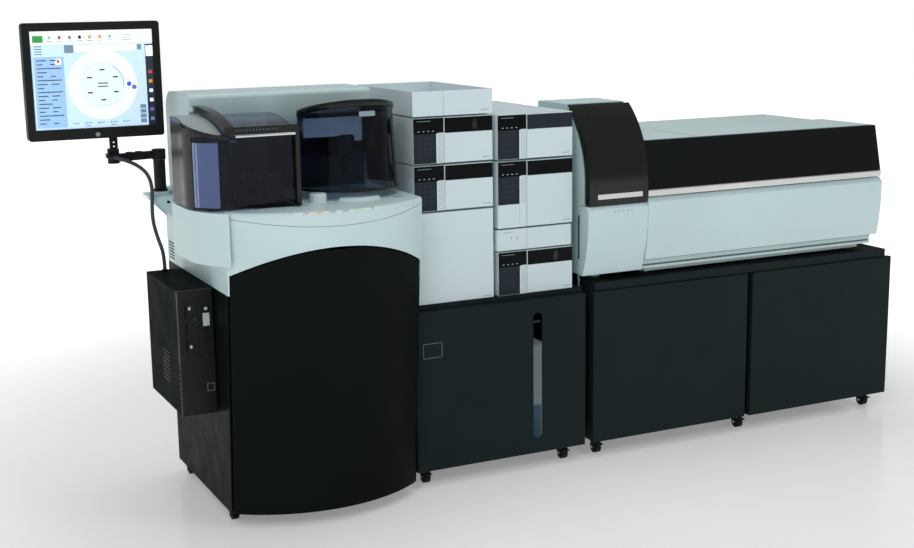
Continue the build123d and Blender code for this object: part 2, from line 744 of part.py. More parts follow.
# ---------------------------------------------------------------- sample station: gantry
rail_y = (front + COVER_BACK + 22, front + HOOD_FACE)
rail_z = (deck_top + 110, deck_top + 140)
rail_reach = CARRIAGE_WIDTH / 2 + CARRIAGE_TRAVEL + 10
rail_x = (right_cover_x - rail_reach, right_cover_x + rail_reach)
with BuildPart() as prep_gantry_rail:
    block(rail_x, rail_y, rail_z)
    for stop_x in (rail_x[0], rail_x[1] - 6):
        block((stop_x, stop_x + 6), (rail_y[0] - 12, rail_y[1]), (rail_z[0] - 8, rail_z[1] + 8))
finish("prep_gantry_rail", prep_gantry_rail)

with BuildPart() as prep_gantry_carriage:
    carriage_x = (right_cover_x - CARRIAGE_WIDTH / 2, right_cover_x + CARRIAGE_WIDTH / 2)
    block(carriage_x, (rail_y[0] - 9, rail_y[0] - CLEAR), (rail_z[0] - 10, rail_z[1] + 10))
    block(carriage_x, (rail_y[0] - 9, rail_y[0] + 14), (rail_z[1] + CLEAR, rail_z[1] + 10))
    head_y = (front + 40, rail_y[0] - 9)
    block((carriage_x[0] + 12, carriage_x[1] - 12), head_y, (rail_z[0] + 4, rail_z[1] + 30))
    cylinder_between(
        (right_cover_x, front + 56, deck_top + 34), (right_cover_x, front + 56, rail_z[0] + 4), 2.5
    )
    cylinder_between(
        (right_cover_x, front + 56, deck_top + 60), (right_cover_x, front + 56, rail_z[0] + 4), 9
    )
finish("prep_gantry_carriage", prep_gantry_carriage)

# ---------------------------------------------------------------- computer beside the station
pc_right = station_left - PC_BOX_GAP
pc_left = pc_right - PC_WIDTH
pc_front = front + PC_SETBACK
pc_back = pc_front + PC_DEPTH
pc_top = cabinet_crown - PC_DROP
pc_base = pc_top - PC_HEIGHT

# the monitor arm, and the cable from its elbow down to the computer
monitor_width = MONITOR_REACH - MONITOR_GAP
monitor_height = MONITOR_CHIN + SCREEN_HEIGHT + MONITOR_BROW
monitor_base = deck_top + MONITOR_LIFT
monitor_left = station_left - MONITOR_REACH
monitor_right = monitor_left + monitor_width
monitor_x = (monitor_left + monitor_right) / 2
monitor_front = front + MONITOR_SETBACK
monitor_back = monitor_front + MONITOR_THICKNESS
monitor_top = monitor_base + monitor_height
post_x = station_left - 34
post_y = front + 410
post_base = deck_top - 12
post_top = deck_top + 92
elbow_x = monitor_x + 56
elbow_y = monitor_back + 34
arm_z = post_top + CLEAR
cable_route = [
    (elbow_x - 8, elbow_y - 29, arm_z + 22),
    (elbow_x + 27, elbow_y - 31, arm_z + 10),
    (elbow_x + 63, elbow_y - 34, arm_z - 8),
    (elbow_x + 89, elbow_y - 38, arm_z - 35),
    (elbow_x + 98, elbow_y - 41, arm_z - 74),
    (elbow_x + 94, elbow_y - 42, arm_z - 122),
    (elbow_x + 93, elbow_y - 44, arm_z - 172),
    (elbow_x + 104, elbow_y - 46, arm_z - 222),
    (elbow_x + 120, elbow_y - 47, arm_z - 270),
    (elbow_x + 120, elbow_y - 47, pc_top + GROMMET_HEIGHT),
]
cable_points = [Vector(*point) for point in cable_route]
cable_start = cable_points[0]
cable_exit = (cable_points[1] - cable_start).normalized()

panel_thickness = 14
tray_slot = ((pc_left + 26, pc_left + 54), (pc_base + 176, pc_base + 326))
button_place = (pc_left + 78, pc_base + 302)
BUTTON_RADIUS = 7
BUTTON_TRAVEL = 2
with BuildPart() as pc_case:
    open_box(
        (pc_left, pc_right), (pc_front + panel_thickness, pc_back), (pc_base, pc_top), 1.5, ("front",)
    )
    for bracket_z in (pc_base + 60, pc_top - 60):
        block((pc_right, station_left), (pc_front + 60, pc_back - 60), (bracket_z - 15, bracket_z + 15))
    grommet_foot = cable_points[-1] - Vector(0, 0, GROMMET_HEIGHT + 1)
    cylinder_between(grommet_foot, cable_points[-1], CABLE_DIAMETER / 2 + 3)
finish("pc_case", pc_case)

with BuildPart() as pc_front_panel:
    block((pc_left, pc_right), (pc_front, pc_front + panel_thickness), (pc_base, pc_top))
    fillet(pc_front_panel.edges().filter_by(Axis.Z).group_by(Axis.Y)[0], 5)
    block(tray_slot[0], (pc_front - 1, pc_front + panel_thickness + 1), tray_slot[1], mode=Mode.SUBTRACT)
    shallow = (pc_front - 1, pc_front + 2)
    block((pc_left + 18, pc_left + 62), shallow, (pc_base + 166, pc_base + 336), Mode.SUBTRACT)
    block((pc_left + 68, pc_left + 90), shallow, (pc_base + 206, pc_base + 290), Mode.SUBTRACT)
    with BuildSketch(Plane.XZ.offset(-pc_front)) as button_hole:
        with Locations(button_place):
            Circle(BUTTON_RADIUS + 0.3)
    extrude(amount=-10, mode=Mode.SUBTRACT)
    for row in range(9):
        vent_z = pc_base + 28 + row * 14
        block((pc_left - 1, pc_left + 14), (pc_front + 4, pc_front + 11), (vent_z, vent_z + 6), Mode.SUBTRACT)
finish("pc_front_panel", pc_front_panel)

with BuildPart() as pc_disc_tray:
    tray_clear = 0.5
    block(
        (tray_slot[0][0] + tray_clear, tray_slot[0][1] - tray_clear),
        (pc_front + 2, pc_front + 150),
        (tray_slot[1][0] + tray_clear, tray_slot[1][1] - tray_clear),
    )
    with BuildSketch(Plane.YZ.offset(tray_slot[0][0])) as disc_recess:
        with Locations((pc_front + 80, (tray_slot[1][0] + tray_slot[1][1]) / 2)):
            Circle(61)
    extrude(amount=6, mode=Mode.SUBTRACT)
finish("pc_disc_tray", pc_disc_tray)

with BuildPart() as pc_power_button:
    with BuildSketch(Plane.XZ.offset(-pc_front + 2)) as button_face:
        with Locations(button_place):
            Circle(BUTTON_RADIUS)
    extrude(amount=-8)
finish("pc_power_button", pc_power_button)

# ---------------------------------------------------------------- monitor and its arm
with BuildPart() as arm_bracket:
    shelf_x = (station_left - 74, station_left)
    shelf_y = (post_y - 60, post_y + 60)
    block(shelf_x, shelf_y, (post_base - 8, post_base))
    block((station_left - 5, station_left), shelf_y, (post_base - 88, post_base))
    shelf_under = post_base - 8
    gusset = [(station_left, post_base - 82), (station_left - 70, shelf_under), (station_left, shelf_under)]
    for gusset_y in (shelf_y[0] + 5, shelf_y[1]):
        extrude(face_on(Plane.XZ.offset(-gusset_y), gusset), amount=5)
    cylinder_between((post_x, post_y, post_base), (post_x, post_y, post_top), POST_RADIUS)
    cylinder_between((post_x, post_y, post_base), (post_x, post_y, post_base + 10), POST_RADIUS + 12)
finish("arm_bracket", arm_bracket)

with BuildPart() as arm_link:
    hub_height = 30
    post_hub = (post_x, post_y, arm_z)
    elbow_hub = (elbow_x, elbow_y, arm_z)
    cylinder_between(post_hub, (post_x, post_y, arm_z + hub_height), POST_RADIUS + 3)
    cylinder_between(elbow_hub, (elbow_x, elbow_y, arm_z + hub_height), POST_RADIUS)
    reach = Vector(elbow_x - post_x, elbow_y - post_y, 0)
    side = reach.normalized().rotate(Axis.Z, 90) * 11
    bar_corners = [
        (post_x + side.X, post_y + side.Y),
        (elbow_x + side.X, elbow_y + side.Y),
        (elbow_x - side.X, elbow_y - side.Y),
        (post_x - side.X, post_y - side.Y),
    ]
    extrude(face_on(Plane.XY.offset(arm_z + 4), bar_corners), amount=hub_height - 8)
    gland_start = cable_start - cable_exit * GLAND_LENGTH
    cylinder_between(gland_start, cable_start, CABLE_DIAMETER / 2 + 2.5)
    block(
        (gland_start.X, gland_start.X + GLAND_LENGTH - 4),
        (cable_start.Y, elbow_y),
        (arm_z + hub_height - 12, arm_z + hub_height),
    )
finish("arm_link", arm_link)

with BuildPart() as monitor_tilt_head:
    head_base = arm_z + hub_height + CLEAR
    tilt_z = monitor_base + 14
    tilt_y = elbow_y
    cylinder_between((elbow_x, elbow_y, head_base), (elbow_x, elbow_y, head_base + 12), POST_RADIUS)
    block(
        (elbow_x - 7, elbow_x + 7),
        (elbow_y - 9, elbow_y + 9),
        (head_base + 6, tilt_z - 12),
    )
    cylinder_between((elbow_x - 20, tilt_y, tilt_z), (elbow_x + 20, tilt_y, tilt_z), 13)
finish("monitor_tilt_head", monitor_tilt_head)

with BuildPart() as monitor_housing:
    block((monitor_left, monitor_right), (monitor_front, monitor_back), (monitor_base, monitor_top))
    fillet(monitor_housing.edges().filter_by(Axis.Y), 9)
    fillet(monitor_housing.faces().sort_by(Axis.Y)[-1].edges(), 7)
    screen_x = (monitor_left + MONITOR_BORDER, monitor_right - MONITOR_BORDER)
    screen_z = (monitor_base + MONITOR_CHIN, monitor_top - MONITOR_BROW)
    block(screen_x, (monitor_front - 1, monitor_front + BEZEL_DEPTH + 3), screen_z, Mode.SUBTRACT)
    for ear_x in (elbow_x - 26, elbow_x + 20 + CLEAR):
        block((ear_x, ear_x + 6 - CLEAR), (monitor_back - 1, tilt_y), (tilt_z - 12, tilt_z + 12))
        cylinder_between((ear_x, tilt_y, tilt_z), (ear_x + 6 - CLEAR, tilt_y, tilt_z), 12)
finish("monitor_housing", monitor_housing)

with BuildPart() as monitor_screen:
    block(screen_x, (monitor_front + BEZEL_DEPTH, monitor_front + BEZEL_DEPTH + 3), screen_z)
finish("monitor_screen", monitor_screen)

# ---------------------------------------------------------------- monitor cable
with BuildLine() as cable_line:
    cable_radii = []
    for before, here, after in zip(cable_points, cable_points[1:], cable_points[2:]):
        turn = (here - before).get_angle(after - here)
        shorter = min((here - before).length, (after - here).length)
        cable_radii.append(0.45 * shorter / tan(radians(turn) / 2))
    cable_path = FilletPolyline(*cable_points, radius=cable_radii)
with BuildPart() as monitor_cable:
    with BuildSketch(Plane(origin=cable_start, z_dir=cable_exit)):
        Circle(CABLE_DIAMETER / 2)
    sweep(path=cable_line.line)
print("cable radii", [round(radius, 1) for radius in cable_radii])
print("cable length", round(cable_path.length, 1))
cable_volume = pi * CABLE_DIAMETER**2 / 4 * cable_path.length
print("cable volume against section times length", round(monitor_cable.part.volume / cable_volume, 4))
finish("monitor_cable", monitor_cable)

# ---------------------------------------------------------------- chromatograph cabinet
cabinet_top = MODULE_BASE - LC_TOP_SLAB
panel_front = front - DOOR_PROUD + CABINET_DOOR + 2
with BuildPart() as lc_cabinet:
    open_box(
        (lc_left, lc_right), (panel_front, back), (CABINET_BASE, cabinet_top), SHEET, ("front",)
    )
    slab_y = (front - 4, back)
    open_box((lc_left, lc_right), slab_y, (cabinet_top - SHEET, MODULE_BASE), SHEET, ("bottom",))
    block((lc_left, lc_right), (panel_front, back), (cabinet_top - SHEET, cabinet_top))
    for caster_x in (lc_left + 50, lc_right - 53):
        for caster_y in (front + 24, back - 50):
            caster(caster_x, caster_y, CABINET_BASE)
finish("lc_cabinet", lc_cabinet)

lc_door_low = CABINET_BASE
lc_door_high = MODULE_BASE - 15
slot_x = (lc_right - SLOT_FROM_RIGHT - SLOT_WIDTH, lc_right - SLOT_FROM_RIGHT)
with BuildPart() as lc_cabinet_door:
    door_pan((lc_left + 2, lc_right), (lc_door_low, lc_door_high), 2)
    block(slot_x, (door_front - 1, door_front + CABINET_DOOR + 1), (SLOT_LOW, SLOT_HIGH), Mode.SUBTRACT)
finish("lc_cabinet_door", lc_cabinet_door)

with BuildPart() as lc_waste_tank:
    tank_x = (slot_x[0] - TANK_MARGIN, slot_x[1] + TANK_MARGIN)
    tank_y = (front + 40, front + 40 + TANK_DEPTH)
    tank_z = (CABINET_BASE + SHEET, CABINET_BASE + SHEET + TANK_HEIGHT)
    block(tank_x, tank_y, tank_z)
    fillet(lc_waste_tank.edges().filter_by(Axis.Z), TANK_CORNER)
    fillet(lc_waste_tank.faces().sort_by(Axis.Z)[-1].edges(), TANK_CORNER / 2)
    tank_middle = ((tank_x[0] + tank_x[1]) / 2, (tank_y[0] + tank_y[1]) / 2)
    cylinder_between((*tank_middle, tank_z[1] - 1), (*tank_middle, tank_z[1] + 26), TANK_CORNER)
finish("lc_waste_tank", lc_waste_tank)


# ---------------------------------------------------------------- chromatograph modules
def hollow_case(left, base, top, start):
    """Empty the case of a module behind a given depth, leaving sheet walls."""
    block(
        (left + SHEET, left + module_width - SHEET),
        (start, front + MODULE_DEPTH - SHEET),
        (base + SHEET, top - SHEET),
        Mode.SUBTRACT,
    )


def module_case(left, base, height, recess):
    """A module: a closed case with a control panel on the left and a shallow bay behind its door."""
    top = base + height - MODULE_GAP
    seam = left + PANEL_SHARE * module_width
    block((left, left + module_width), (front + MODULE_DOOR + 1, front + MODULE_DEPTH), (base, top))
    block((left, seam), (front, front + MODULE_DOOR + 1), (base + 1, top - 1))
    hollow_case(left, base, top, front + MODULE_DOOR + recess + SHEET)
    if recess:
        block(
            (seam + BAY_SIDE, left + module_width - BAY_SIDE),
            (front + MODULE_DOOR, front + MODULE_DOOR + recess),
            (base + BAY_SILL, top - BAY_SILL),
            Mode.SUBTRACT,
        )


def module_door(left, base, height):
    """The hinged cover to the right of a module's control panel."""
    seam = left + PANEL_SHARE * module_width
    block(
        (seam + 1.2, left + module_width),
        (front, front + MODULE_DOOR),
        (base + 1, base + height - MODULE_GAP - 1),
    )


def pump_heads(left, base, bay):
    """Two pump heads and a drain valve on the back wall of a pump's bay."""
    middle = (left + PANEL_SHARE * module_width + left + module_width) / 2
    wall = front + MODULE_DOOR + bay
    head_z = base + PUMP_HEIGHT / 2 + 4
    for head_x in (middle - PUMP_HEAD_PITCH / 2, middle + PUMP_HEAD_PITCH / 2):
        cylinder_between((head_x, wall + 1, head_z), (head_x, wall - 26, head_z), PUMP_HEAD_RADIUS)
        outlet = (head_x, wall - 8, head_z + 2 * PUMP_HEAD_RADIUS)
        cylinder_between((head_x, wall - 8, head_z), outlet, 5)
    valve_z = head_z - 42
    cylinder_between((middle, wall + 1, valve_z), (middle, wall - 22, valve_z), 10)


pump_places = {
    "lc_pump_a": (column_a, MODULE_BASE + OVEN_HEIGHT),
    "lc_pump_b": (column_a, MODULE_BASE + OVEN_HEIGHT + PUMP_HEIGHT),
    "lc_pump_c": (column_b, MODULE_BASE),
}
for pump_name, (pump_left, pump_base) in pump_places.items():
    with BuildPart() as pump:
        module_case(pump_left, pump_base, PUMP_HEIGHT, PUMP_BAY)
        pump_heads(pump_left, pump_base, PUMP_BAY)
    finish(pump_name, pump)
    with BuildPart() as pump_door:
        module_door(pump_left, pump_base, PUMP_HEIGHT)
        fillet(pump_door.faces().sort_by(Axis.Y)[0].edges(), 1.5)
    finish(pump_name + "_door", pump_door)

tray_base = MODULE_BASE + OVEN_HEIGHT + 2 * PUMP_HEIGHT
with BuildPart() as lc_reservoir_tray:
    open_box(
        (column_a, column_a + module_width),
        (front, front + MODULE_DEPTH - TRAY_SETBACK),
        (tray_base, tray_base + TRAY_HEIGHT),
        TRAY_WALL,
        ("top",),
    )
finish("lc_reservoir_tray", lc_reservoir_tray)

oven_top = MODULE_BASE + OVEN_HEIGHT - MODULE_GAP
oven_front = front + OVEN_DOOR + 1
clip_y = oven_front + OVEN_DEPTH
column_z = MODULE_BASE + COLUMN_HEIGHT
column_x = column_a + module_width / 2
clip_places = (column_x - CLIP_PITCH / 2 - CLIP_WIDTH / 2, column_x + CLIP_PITCH / 2 - CLIP_WIDTH / 2)
with BuildPart() as lc_oven:
    block((column_a, column_a + module_width), (oven_front, front + MODULE_DEPTH), (MODULE_BASE, oven_top))
    block(
        (column_a + OVEN_WALL, column_a + module_width - OVEN_WALL),
        (oven_front - 1, clip_y),
        (MODULE_BASE + OVEN_WALL, oven_top - OVEN_WALL),
        Mode.SUBTRACT,
    )
    hollow_case(column_a, MODULE_BASE, oven_top, clip_y + SHEET)
    for clip_left in clip_places:
        block((clip_left, clip_left + CLIP_WIDTH), (clip_y - 16, clip_y + 1), (column_z - 6, column_z + 6))
finish("lc_oven", lc_oven)

with BuildPart() as lc_column:
    fitting_radius = COLUMN_RADIUS + 3
    column_y = clip_y - 16 - fitting_radius - CLEAR
    column_left = column_x - COLUMN_LENGTH / 2
    sections = [(column_left, COLUMN_LENGTH, COLUMN_RADIUS), (column_left, COLUMN_END, fitting_radius)]
    sections.append((column_left + COLUMN_LENGTH - COLUMN_END, COLUMN_END, fitting_radius))
    sections += [(clip_left, CLIP_WIDTH, fitting_radius) for clip_left in clip_places]
    for start_x, length, radius in sections:
        cylinder_between((start_x, column_y, column_z), (start_x + length, column_y, column_z), radius)
finish("lc_column", lc_column)

with BuildPart() as lc_oven_door:
    block((column_a, column_a + module_width), (front, front + OVEN_DOOR), (MODULE_BASE + 1, oven_top - 1))
    fillet(lc_oven_door.faces().sort_by(Axis.Y)[0].edges(), 2)
    for grip_z in (MODULE_BASE + 96, MODULE_BASE + 170):
        block(
            (column_a + module_width - 4, column_a + module_width + 1),
            (front + 8, front + OVEN_DOOR + 1),
            (grip_z, grip_z + 28),
            Mode.SUBTRACT,
        )
finish("lc_oven_door", lc_oven_door)

degasser_base = MODULE_BASE + PUMP_HEIGHT
with BuildPart() as lc_degasser:
    block(
        (column_b - DEGASSER_LAP, column_b + module_width),
        (front, front + MODULE_DEPTH),
        (degasser_base, degasser_base + DEGASSER_HEIGHT - MODULE_GAP),
    )
    fillet(lc_degasser.edges().filter_by(Axis.Z).group_by(Axis.Y)[0], 8)
    hollow_case(column_b, degasser_base, degasser_base + DEGASSER_HEIGHT - MODULE_GAP, front + 3 * SHEET)
finish("lc_degasser", lc_degasser)

autosampler_base = degasser_base + DEGASSER_HEIGHT
with BuildPart() as lc_autosampler:
    module_case(column_b, autosampler_base, AUTOSAMPLER_HEIGHT, AUTOSAMPLER_BAY)
    rack_left = column_b + (1 + PANEL_SHARE) / 2 * module_width - RACK_SIZE / 2
    rack_y = front + MODULE_DOOR + RACK_INSET
    rack_z = autosampler_base + BAY_SILL + 2
    block((rack_left, rack_left + RACK_SIZE), (rack_y, rack_y + RACK_SIZE), (rack_z - 3, rack_z + 10))
    with BuildSketch(Plane.XY.offset(rack_z + 4)) as vial_wells:
        with Locations((rack_left + RACK_SIZE / 2, rack_y + RACK_SIZE / 2)):
            with GridLocations(VIAL_PITCH, VIAL_PITCH, 5, 5):
                Circle(VIAL_RADIUS)
    extrude(amount=10, mode=Mode.SUBTRACT)
finish("lc_autosampler", lc_autosampler)
with BuildPart() as lc_autosampler_door:
    module_door(column_b, autosampler_base, AUTOSAMPLER_HEIGHT)
    fillet(lc_autosampler_door.faces().sort_by(Axis.Y)[0].edges(), 1.5)
finish("lc_autosampler_door", lc_autosampler_door)

controller_base = autosampler_base + AUTOSAMPLER_HEIGHT
with BuildPart() as lc_controller:
    module_case(column_b, controller_base, PUMP_HEIGHT, PUMP_BAY)
finish("lc_controller", lc_controller)
with BuildPart() as lc_controller_door:
    module_door(column_b, controller_base, PUMP_HEIGHT)
    fillet(lc_controller_door.faces().sort_by(Axis.Y)[0].edges(), 1.5)
finish("lc_controller_door", lc_controller_door)

# ---------------------------------------------------------------- bench
bench_side_left = bench_left + 6
bench_side_right = bench_right - BENCH_TOP_INSET
bench_seam = bench_left + (BENCH_WIDTH - BENCH_DOOR_GAP) / 2
bench_door_high = MODULE_BASE - 15
bench_body_top = BENCH_TOP - BENCH_TOP_SLAB
bench_back = back
with BuildPart() as bench_frame:
    bench_x = (bench_side_left, bench_side_right)
    open_box(bench_x, (panel_front, bench_back), (CABINET_BASE, bench_body_top), SHEET, ("front",))
    divider_x = bench_seam + BENCH_DOOR_GAP / 2
    divider_y = (panel_front, bench_back - SHEET)
    block((divider_x - SHEET, divider_x + SHEET), divider_y, (CABINET_BASE, bench_body_top))
    slab_y = (front - 24, bench_back)
    open_box(bench_x, slab_y, (bench_body_top, BENCH_TOP), SHEET, ("bottom",))
    block(bench_x, (panel_front, bench_back), (bench_body_top - SHEET, bench_body_top))
    for caster_x in (bench_side_left + 36, divider_x, bench_side_right - 32):
        for caster_y in (front + 24, bench_back - 50):
            caster(caster_x, caster_y, CABINET_BASE)
finish("bench_frame", bench_frame)

bench_doors = {
    "bench_left_door": (bench_left, bench_seam),
    "bench_right_door": (bench_seam + BENCH_DOOR_GAP, bench_right),
}
for door_name, door_x in bench_doors.items():
    with BuildPart() as bench_door:
        door_pan(door_x, (CABINET_BASE, bench_door_high), 2)
    finish(door_name, bench_door)

with BuildPart() as rough_vacuum_pump:
    pump_left = bench_left + 120
    pump_middle = pump_left + ROUGH_PUMP_WIDTH / 2
    pump_y = (front + 90, front + 90 + ROUGH_PUMP_LENGTH)
    pump_floor = CABINET_BASE + SHEET
    pump_crown = pump_floor + ROUGH_PUMP_HEIGHT
    box_back = pump_y[0] + ROUGH_PUMP_HEIGHT
    block((pump_left, pump_left + ROUGH_PUMP_WIDTH), (pump_y[0], box_back), (pump_floor, pump_crown))
    fillet(rough_vacuum_pump.edges().filter_by(Axis.Y), 16)
    motor_z = pump_floor + ROUGH_MOTOR_RADIUS + 18
    motor_front = (pump_middle, box_back - 10, motor_z)
    cylinder_between(motor_front, (pump_middle, pump_y[1], motor_z), ROUGH_MOTOR_RADIUS)
    cradle_y = (box_back + 10, pump_y[1] - 20)
    block((pump_middle - 50, pump_middle + 50), cradle_y, (pump_floor, pump_floor + 30))
    for port_y in (pump_y[0] + 50, pump_y[0] + 130):
        port_top = (pump_middle, port_y, pump_crown + 50)
        cylinder_between((pump_middle, port_y, pump_crown - 10), port_top, 16)
finish("rough_vacuum_pump", rough_vacuum_pump)

# ---------------------------------------------------------------- mass spectrometer: main casing
casing_left = tower_right + 1
panel_top = MS_ROOF - 1
panel_slant = (front - 5 - PANEL_SLOPE, TRIM_HIGH)
casing_back = front + MS_DEPTH
step_y = front + MS_STEP_DEPTH
with BuildPart() as ms_casing:
    outline = [
        (front - 2, MS_BOTTOM),
        (casing_back, MS_BOTTOM),
        (casing_back, MS_ROOF - MS_STEP),
        (step_y, MS_ROOF - MS_STEP),
        (step_y, MS_ROOF),
        (front + 12, MS_ROOF),
        (front - 12, FRONT_PANEL_TOP + 24),
        (front - 12, FRONT_PANEL_BOTTOM),
        (front - 2, FRONT_PANEL_BOTTOM - 6),
    ]
    hollow = [
        (front + 10, MS_BOTTOM + SHEET),
        (casing_back - SHEET, MS_BOTTOM + SHEET),
        (casing_back - SHEET, MS_ROOF - MS_STEP - SHEET),
        (front + 30, MS_ROOF - MS_STEP - SHEET),
        (front + 10, FRONT_PANEL_TOP + 20),
    ]
    bar_x(outline, (casing_left, ms_right - 4))
    bar_x(hollow, (casing_left + SHEET, ms_right - 4 - SHEET), Mode.SUBTRACT)
    foot_inset = 40
    foot_y = (front + 50, casing_back - 60)
    for foot_x in (tower_right + foot_inset, (tower_right + ms_right) / 2, ms_right - 30 - foot_inset):
        for y in foot_y:
            cylinder_between((foot_x, y, BENCH_TOP), (foot_x, y, MS_BOTTOM + 1), 20)
    block(
        (casing_left + 30, ms_right - 40),
        (front + 20, casing_back - 20),
        (MS_BOTTOM - 14, MS_BOTTOM + 1),
    )
    gas_x = ms_right - 160
    gas_z = MS_BOTTOM + 120
    gas_point = (gas_x, casing_back + GAS_INLET_LENGTH - 4, gas_z)
    gas_hole = ((gas_x, casing_back - 4, gas_z), (gas_x, casing_back + 20, gas_z))
    cylinder_between((gas_x, casing_back - SHEET, gas_z), gas_point, 9)
    cylinder_between(*gas_hole, GAS_INLET_RADIUS, Mode.SUBTRACT)
    port_x = ms_right - 320
    port_point = (port_x, casing_back + 12, gas_z)
    port_hole = ((port_x, casing_back - SHEET - 1, gas_z), (port_x, casing_back + 13, gas_z))
    cylinder_between((port_x, casing_back - SHEET, gas_z), port_point, EXHAUST_RADIUS + 4)
    cylinder_between(*port_hole, EXHAUST_RADIUS, Mode.SUBTRACT)
finish("ms_casing", ms_casing)

with BuildPart() as ms_upper_panel:
    slab = 16
    bar_x(
        [
            (front - 5, panel_top),
            (panel_slant[0], panel_slant[1] + CLEAR),
            (panel_slant[0] + slab, panel_slant[1] + CLEAR),
            (front - 5 + slab, panel_top),
        ],
        (tower_right + 1, ms_right),
    )
    fillet(ms_upper_panel.edges().filter_by(Axis.X).sort_by(Axis.Y)[0], 3)
    end_face = ms_upper_panel.faces().sort_by(Axis.X)[-1]
    fillet(end_face.edges().sort_by(Axis.Y)[0], 4)
    block(
        (ms_right - 4, ms_right - 0.5), (front + 6, front + 30), (TRIM_HIGH + 40, panel_top - 12)
    )
finish("ms_upper_panel", ms_upper_panel)

with BuildPart() as ms_trim:
    block((tower_right + 1, ms_right + 4), (front - FRONT_PROUD, front - 13), (TRIM_LOW, TRIM_HIGH))
    fillet(ms_trim.edges().filter_by(Axis.Z).group_by(Axis.X)[-1].sort_by(Axis.Y)[0], 14)
    fillet(ms_trim.faces().sort_by(Axis.Y)[0].edges().filter_by(Axis.X), 3)
finish("ms_trim", ms_trim)

with BuildPart() as ms_front_panel:
    panel_front_y = front - FRONT_PROUD
    tuck_y = front - FRONT_PANEL_TUCK
    with BuildSketch(Plane.YZ.offset(tower_right + 1)) as panel_section:
        with BuildLine():
            Polyline(
                (front - 13, FRONT_PANEL_BOTTOM),
                (front - 13, FRONT_PANEL_TOP),
                (front - 32, FRONT_PANEL_TOP),
                (panel_front_y, FRONT_PANEL_TOP - 14),
            )
            ThreePointArc(
                (panel_front_y, FRONT_PANEL_TOP - 14),
                (panel_front_y + 1, FRONT_PANEL_TOP - 90),
                (tuck_y, FRONT_PANEL_BOTTOM),
            )
            Line((tuck_y, FRONT_PANEL_BOTTOM), (front - 13, FRONT_PANEL_BOTTOM))
        make_face()
    extrude(amount=ms_right + 2 - tower_right - 1)
finish("ms_front_panel", ms_front_panel)

# ---------------------------------------------------------------- mass spectrometer: source tower
cover_front_y = front - FRONT_PROUD + 2
cover_knee = COVER_BOTTOM + COVER_STRAIGHT
cover_top = TOWER_TOP - 3
rise = cover_top - cover_knee


def cover_y(height, setback):
    """Y of the tower cover's curved front at a height."""
    above = max(height - cover_knee, 0)
    return cover_front_y + setback + COVER_RADIUS - sqrt(COVER_RADIUS**2 - above**2)


def tower_curve(setback, low):
    """The tower's front line from low up to the roof: straight, then bending back."""
    middle = (cover_knee + cover_top) / 2 + 20
    with BuildLine() as line:
        Line((cover_front_y + setback, low), (cover_front_y + setback, cover_knee))
        ThreePointArc(
            (cover_front_y + setback, cover_knee),
            (cover_y(middle, setback), middle),
            (cover_y(cover_top, setback), cover_top),
        )
    return line.line


def cover_section(plane, near, far):
    """The band between two setbacks of the tower's front line."""
    with BuildSketch(plane) as face:
        with BuildLine():
            add(tower_curve(near, COVER_BOTTOM))
            Line((cover_y(cover_top, near), cover_top), (cover_y(cover_top, far), cover_top))
            add(tower_curve(far, COVER_BOTTOM))
            Line((cover_front_y + far, COVER_BOTTOM), (cover_front_y + near, COVER_BOTTOM))
        make_face()
    return face.sketch


with BuildPart() as ms_source_cover:
    extrude(cover_section(Plane.YZ.offset(ms_left), 0, COVER_SHELL), amount=TOWER_WIDTH)
    for cheek_x in (ms_left, tower_right - COVER_SHELL):
        extrude(cover_section(Plane.YZ.offset(cheek_x), 0, COVER_CHEEK), amount=COVER_SHELL)
    cheek_limit = cover_y(cover_top, 0) + 12
    block(
        (ms_left - 1, tower_right + 1),
        (cheek_limit, cheek_limit + 60),
        (cover_top - 80, cover_top + 1),
        Mode.SUBTRACT,
    )
finish("ms_source_cover", ms_source_cover)

cover_hinge_y = cheek_limit + 4
with BuildPart() as ms_tower:
    with BuildSketch(Plane.YZ.offset(ms_left)) as tower_side:
        with BuildLine():
            add(tower_curve(COVER_CHEEK + 1, COVER_BOTTOM - 3))
            top_point = (cover_y(cover_top, COVER_CHEEK + 1), cover_top)
            Polyline(
                top_point,
                (top_point[0], TOWER_TOP),
                (front + TOWER_DEPTH, TOWER_TOP),
                (front + TOWER_DEPTH, MS_ROOF - MS_STEP),
                (casing_back, MS_ROOF - MS_STEP),
                (casing_back, TOWER_BOTTOM),
                (front + 10, TOWER_BOTTOM),
                (front + 10, COVER_BOTTOM - 3),
                (cover_front_y + COVER_CHEEK + 1, COVER_BOTTOM - 3),
            )
        make_face()
    extrude(amount=TOWER_WIDTH)
    block(
        (ms_left + SHEET, tower_right - SHEET),
        (front - 200, casing_back - SHEET),
        (COVER_BOTTOM, MS_ROOF - MS_STEP - SHEET),
        Mode.SUBTRACT,
    )
    block(
        (ms_left + SHEET, tower_right - SHEET),
        (front - 200, front + TOWER_DEPTH - SHEET),
        (MS_ROOF - MS_STEP - 2 * SHEET, TOWER_TOP - SHEET),
        Mode.SUBTRACT,
    )
    block(
        (ms_left + SHEET, tower_right - SHEET),
        (front + 10 + SHEET, casing_back - SHEET),
        (TOWER_BOTTOM + SHEET, COVER_BOTTOM - 3 - SHEET),
        Mode.SUBTRACT,
    )
    for y in foot_y:
        cylinder_between((ms_left + 70, y, BENCH_TOP), (ms_left + 70, y, TOWER_BOTTOM + 1), 20)
finish("ms_tower", ms_tower)

